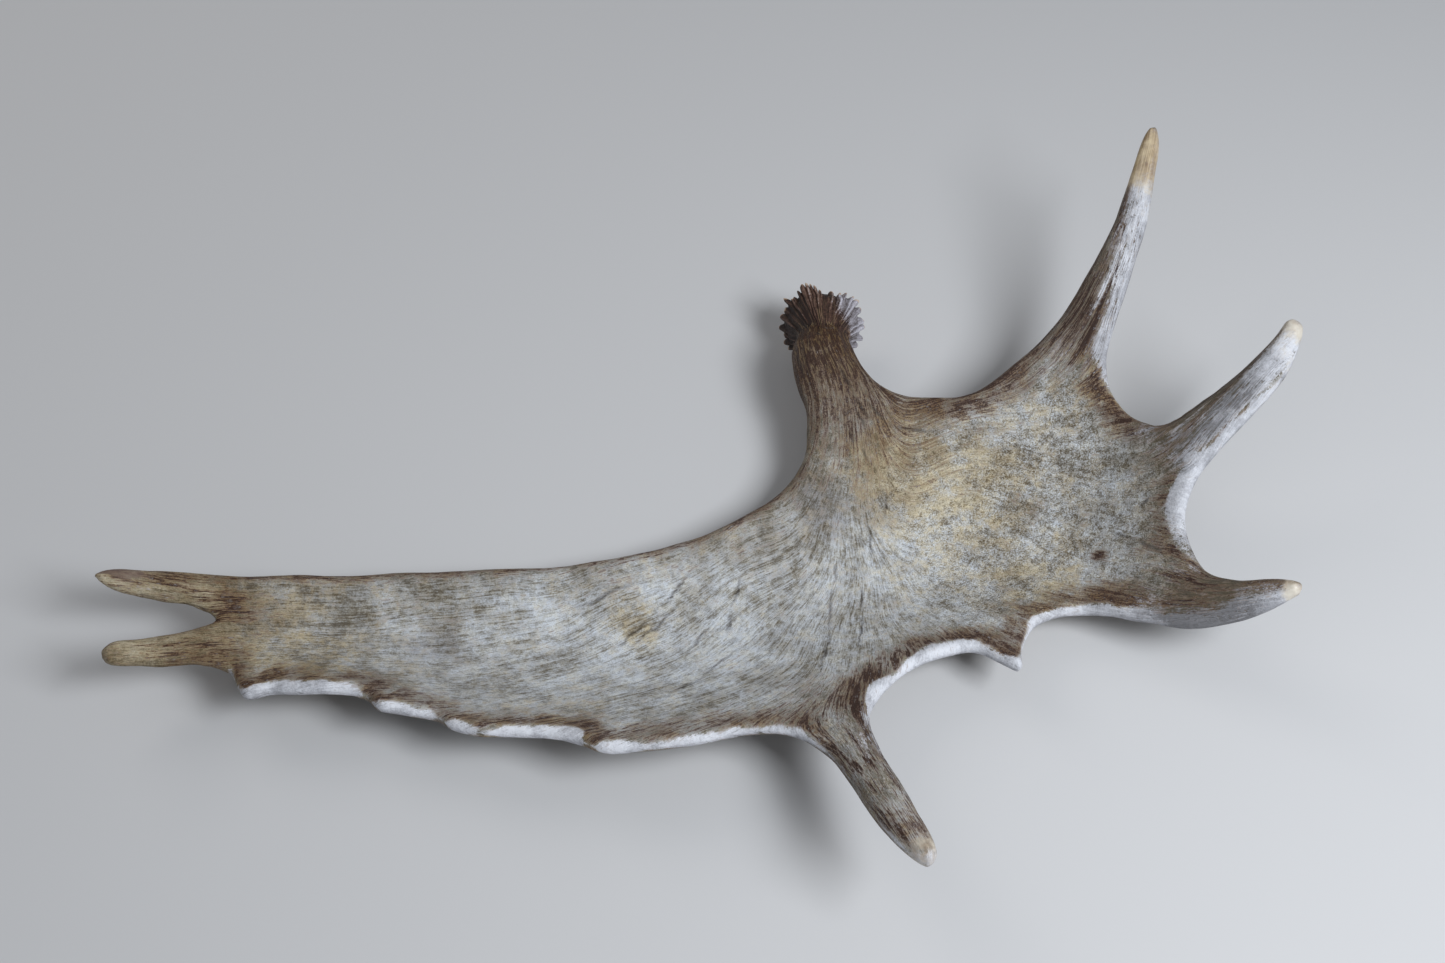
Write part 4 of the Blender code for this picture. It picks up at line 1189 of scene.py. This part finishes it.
start = np.arange(BURR_COLUMNS)
after = np.roll(start, -1)
row_starts = np.arange(len(rows) - 1)[:, None] * BURR_COLUMNS
low_row, high_row = (np.stack((start, after)) + row_starts[:, None] + k for k in (0, BURR_COLUMNS))
quads = np.stack((low_row[:, 0], low_row[:, 1], high_row[:, 1], high_row[:, 0]), axis=-1)
quads = quads.reshape(-1, 4)
last = row_starts[-1, 0] + BURR_COLUMNS
pole = np.full(BURR_COLUMNS, len(burr_local))
first_cap = np.column_stack((after, start, pole))
last_cap = np.column_stack((last + start, last + after, pole + 1))
burr_faces = np.vstack((quads[:, [0, 1, 2]], quads[:, [0, 2, 3]], first_cap, last_cap))
print("burr:", len(burr_skin), "points, radius up to", burr_radius.max().round(1), "mm")

# %% The burr's flow and masks
share_round, side_round, level_round = (
    from_beam(values[around], [-24])[0] for values in (line_share, side, level)
)
away = np.hypot(grid_station, BEAM_RADIUS)
finer = np.log2(np.maximum(burr_radius, 6) / BEAM_RADIUS)  # a wider ring has wider streaks
facing_right = np.cos(grid_angle + 0.1)
burr_masks = {
    "side": side_round,
    "crest": crest * (0.4 + 0.6 * strength) * smooth_step(-50, -22, station),
    "knob_tip": crest * smooth_step(-2.5, 1.5, station) * (1 - on_face),
    # The right side, towards the light, turns pale bluish grey: partly rubbed bone, partly painted
    # light
    "whiteness": smooth_step(-0.15, 0.8, facing_right) * smooth_step(-36, -12, station),
    # Painted shade: the left side, away from the light, is painted darker
    "shaded": smooth_step(0.2, 0.9, -facing_right),
}
burr_masks = {name: flat(values, (0, 0)) for name, values in burr_masks.items()}
burr_masks["face"] = flat(on_face, (0, 1))
burr_flow = (flat(values, (0, 0)) for values in (share_round, away, level_round + finer))
burr_masks["flow"] = np.column_stack(tuple(burr_flow))
print("masks on the burr:", sorted(burr_masks))

# %% The burr's material
BURR_BROWN = (
    (0.0, 0.022, 0.010, 0.007), (0.35, 0.080, 0.040, 0.027), (0.65, 0.165, 0.098, 0.074),
    (1.0, 0.36, 0.28, 0.24),
)
# Pale bluish grey for the burr's right side: partly its rubbed colour, partly painted light
BURR_GREY = (0.11, 0.09, 0.09, 1.0), (0.62, 0.61, 0.69, 1.0)
BURR_THREAD = (0.34, 0.24, 0.13, 1.0)
KNOB_TAN = (0.42, 0.20, 0.08, 1.0), (0.66, 0.52, 0.38, 1.0)
FACE_BONE = (0.17, 0.12, 0.08, 1.0), (0.55, 0.47, 0.36, 1.0)


def burr_material():
    """Dark brown in the gaps, paler on the ridges, tan knobs, and a rough pale face."""
    material, tree, shader = new_material("burr bone")
    place = add_node(tree, "ShaderNodeTexCoord").outputs["Object"]
    flow, side = read(tree, "flow", "Vector"), read(tree, "side")
    crest, knob = read(tree, "crest"), read(tree, "knob_tip")
    hair = use_group(tree, streak_group, Flow=flow, Side=side, Width=0.9, Length=9.0, Seed=1.0)
    grain = noise(tree, place, 620.0, 3.0, 0.65)
    cloud = noise(tree, place, 110.0, 4.0, 0.6)
    tone = average(tree, average(tree, hair, grain, 0.45), cloud, 0.25)

    # Painted shade: the left side is moved down the brown ramp, so that it is darker
    depth = calc(tree, "MULTIPLY_ADD", read(tree, "shaded"), -0.34, 0.43)
    depth = weighted(tree, depth, (tone, 0.9), (crest, 0.6))
    brown = ramp(tree, depth, *BURR_BROWN).outputs["Color"]
    threads = {"Flow": flow, "Side": side, "Width": 2.4, "Length": 36.0, "Seed": 8.0, "Thin": 0.09}
    threads = use_group(tree, thread_group, **threads)
    on_beam = remap(tree, parts_of(tree, flow)["Y"], 22.0, 42.0, 0.1, 0.65)
    brown = blend_colours(tree, calc(tree, "MULTIPLY", threads, on_beam), brown, BURR_THREAD)
    # The right side turns pale grey: partly rubbed bone, partly painted light
    grey = blend_colours(tree, weighted(tree, 0.5, (tone, 0.9), (crest, 0.6)), *BURR_GREY)
    rubbed_and_lit = weighted(tree, read(tree, "whiteness"), (tone, 0.8), (crest, 0.3))
    bone = blend_colours(tree, remap(tree, rubbed_and_lit, 0.25, 0.9, 0.0, 0.9), brown, grey)
    tip = remap(tree, weighted(tree, knob, (cloud, 0.5)), 0.45, 0.9, 0.0, 0.8)
    bone = blend_colours(tree, tip, bone, blend_colours(tree, cloud, *KNOB_TAN))
    face = blend_colours(tree, average(tree, grain, cloud, 0.5), *FACE_BONE)
    bone = blend_colours(tree, read(tree, "face"), bone, face)
    tree.links.new(bone, shader.inputs["Base Color"])
    shader.inputs["Specular IOR Level"].default_value = 0.35
    gloss = weighted(tree, 0.56, (grain, 0.16), (tip, -0.1))
    tree.links.new(gloss, shader.inputs["Roughness"])
    bump = {"Strength": 0.6, "Distance": 0.0007, "Height": tone}
    tree.links.new(add_node(tree, "ShaderNodeBump", bump).outputs[0], shader.inputs["Normal"])
    return material


burr = make_piece("burr", burr_skin, burr_faces, burr_material(), burr_masks)
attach(burr, "root")
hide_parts("beam_and_burr")
print("burr:", len(burr.data.polygons), "triangles")

# %% [markdown]
# ## Floor, light and camera
# A plain pale floor, a large soft lamp from the right and in front, a weak one from behind the
# left, and a camera where the photographer stood: 52 degrees above the floor, some 1.6 m away.

# %% Floor
plate = bpy.data.meshes.new("floor")
plate.from_pydata([(-6, -6, 0), (6, -6, 0), (6, 6, 0), (-6, 6, 0)], [], [(0, 1, 2, 3)])
floor = bpy.data.objects.new("floor", plate)
bpy.context.scene.collection.objects.link(floor)
paper, _, shader = new_material("pale floor")
shader.inputs["Base Color"].default_value = (0.62, 0.62, 0.63, 1.0)
shader.inputs["Roughness"].default_value = 0.9
plate.materials.append(paper)
floor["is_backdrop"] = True
print("floor: 12 m square")

# %% Lamps, world and camera


def aim(thing, place, target):
    """Put a lamp or a camera in the scene, turned so that it looks at the target."""
    thing.location = place
    thing.rotation_euler = (target - place).to_track_quat("-Z", "Y").to_euler()
    bpy.context.scene.collection.objects.link(thing)


def add_lamp(name, place, size, power, tone):
    """A square area lamp that looks at the antler's middle."""
    light = bpy.data.lights.new(name, "AREA")
    light.size, light.energy, light.color = size, power, tone
    aim(bpy.data.objects.new(name, light), Vector(place), Vector((0, 0, 0.03)))


add_lamp("key lamp", (1.1, -0.85, 1.6), 0.8, 37, (0.93, 0.965, 1.0))
add_lamp("fill lamp", (-1.2, 1.0, 1.5), 1.2, 7, (1.0, 0.97, 0.93))
scene = bpy.context.scene
scene.world = bpy.data.worlds.new("pale studio")
scene.world.use_nodes = True
sky = scene.world.node_tree.nodes["Background"].inputs
sky["Color"].default_value = (0.9, 0.94, 1.0, 1.0)
sky["Strength"].default_value = 0.2
scene.view_settings.view_transform = "Standard"

VIEW_ANGLE, VIEW_DISTANCE = math.radians(52), 1.62  # angle above the floor, and metres away
looked_at = Vector(-ORIGIN * MM)  # the middle of the picture
towards = Vector((0, -math.cos(VIEW_ANGLE), math.sin(VIEW_ANGLE)))
lens = bpy.data.cameras.new("camera")
lens.lens, lens.sensor_width = 50, 36
camera = bpy.data.objects.new("camera", lens)
aim(camera, looked_at + VIEW_DISTANCE * towards, looked_at)
scene.camera = camera
print("camera at", [round(number, 3) for number in camera.location])

# %% Print the dressed antler's size, and finish
low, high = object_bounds()
print("size of the dressed antler in metres:", [round(float(s), 3) for s in high - low])
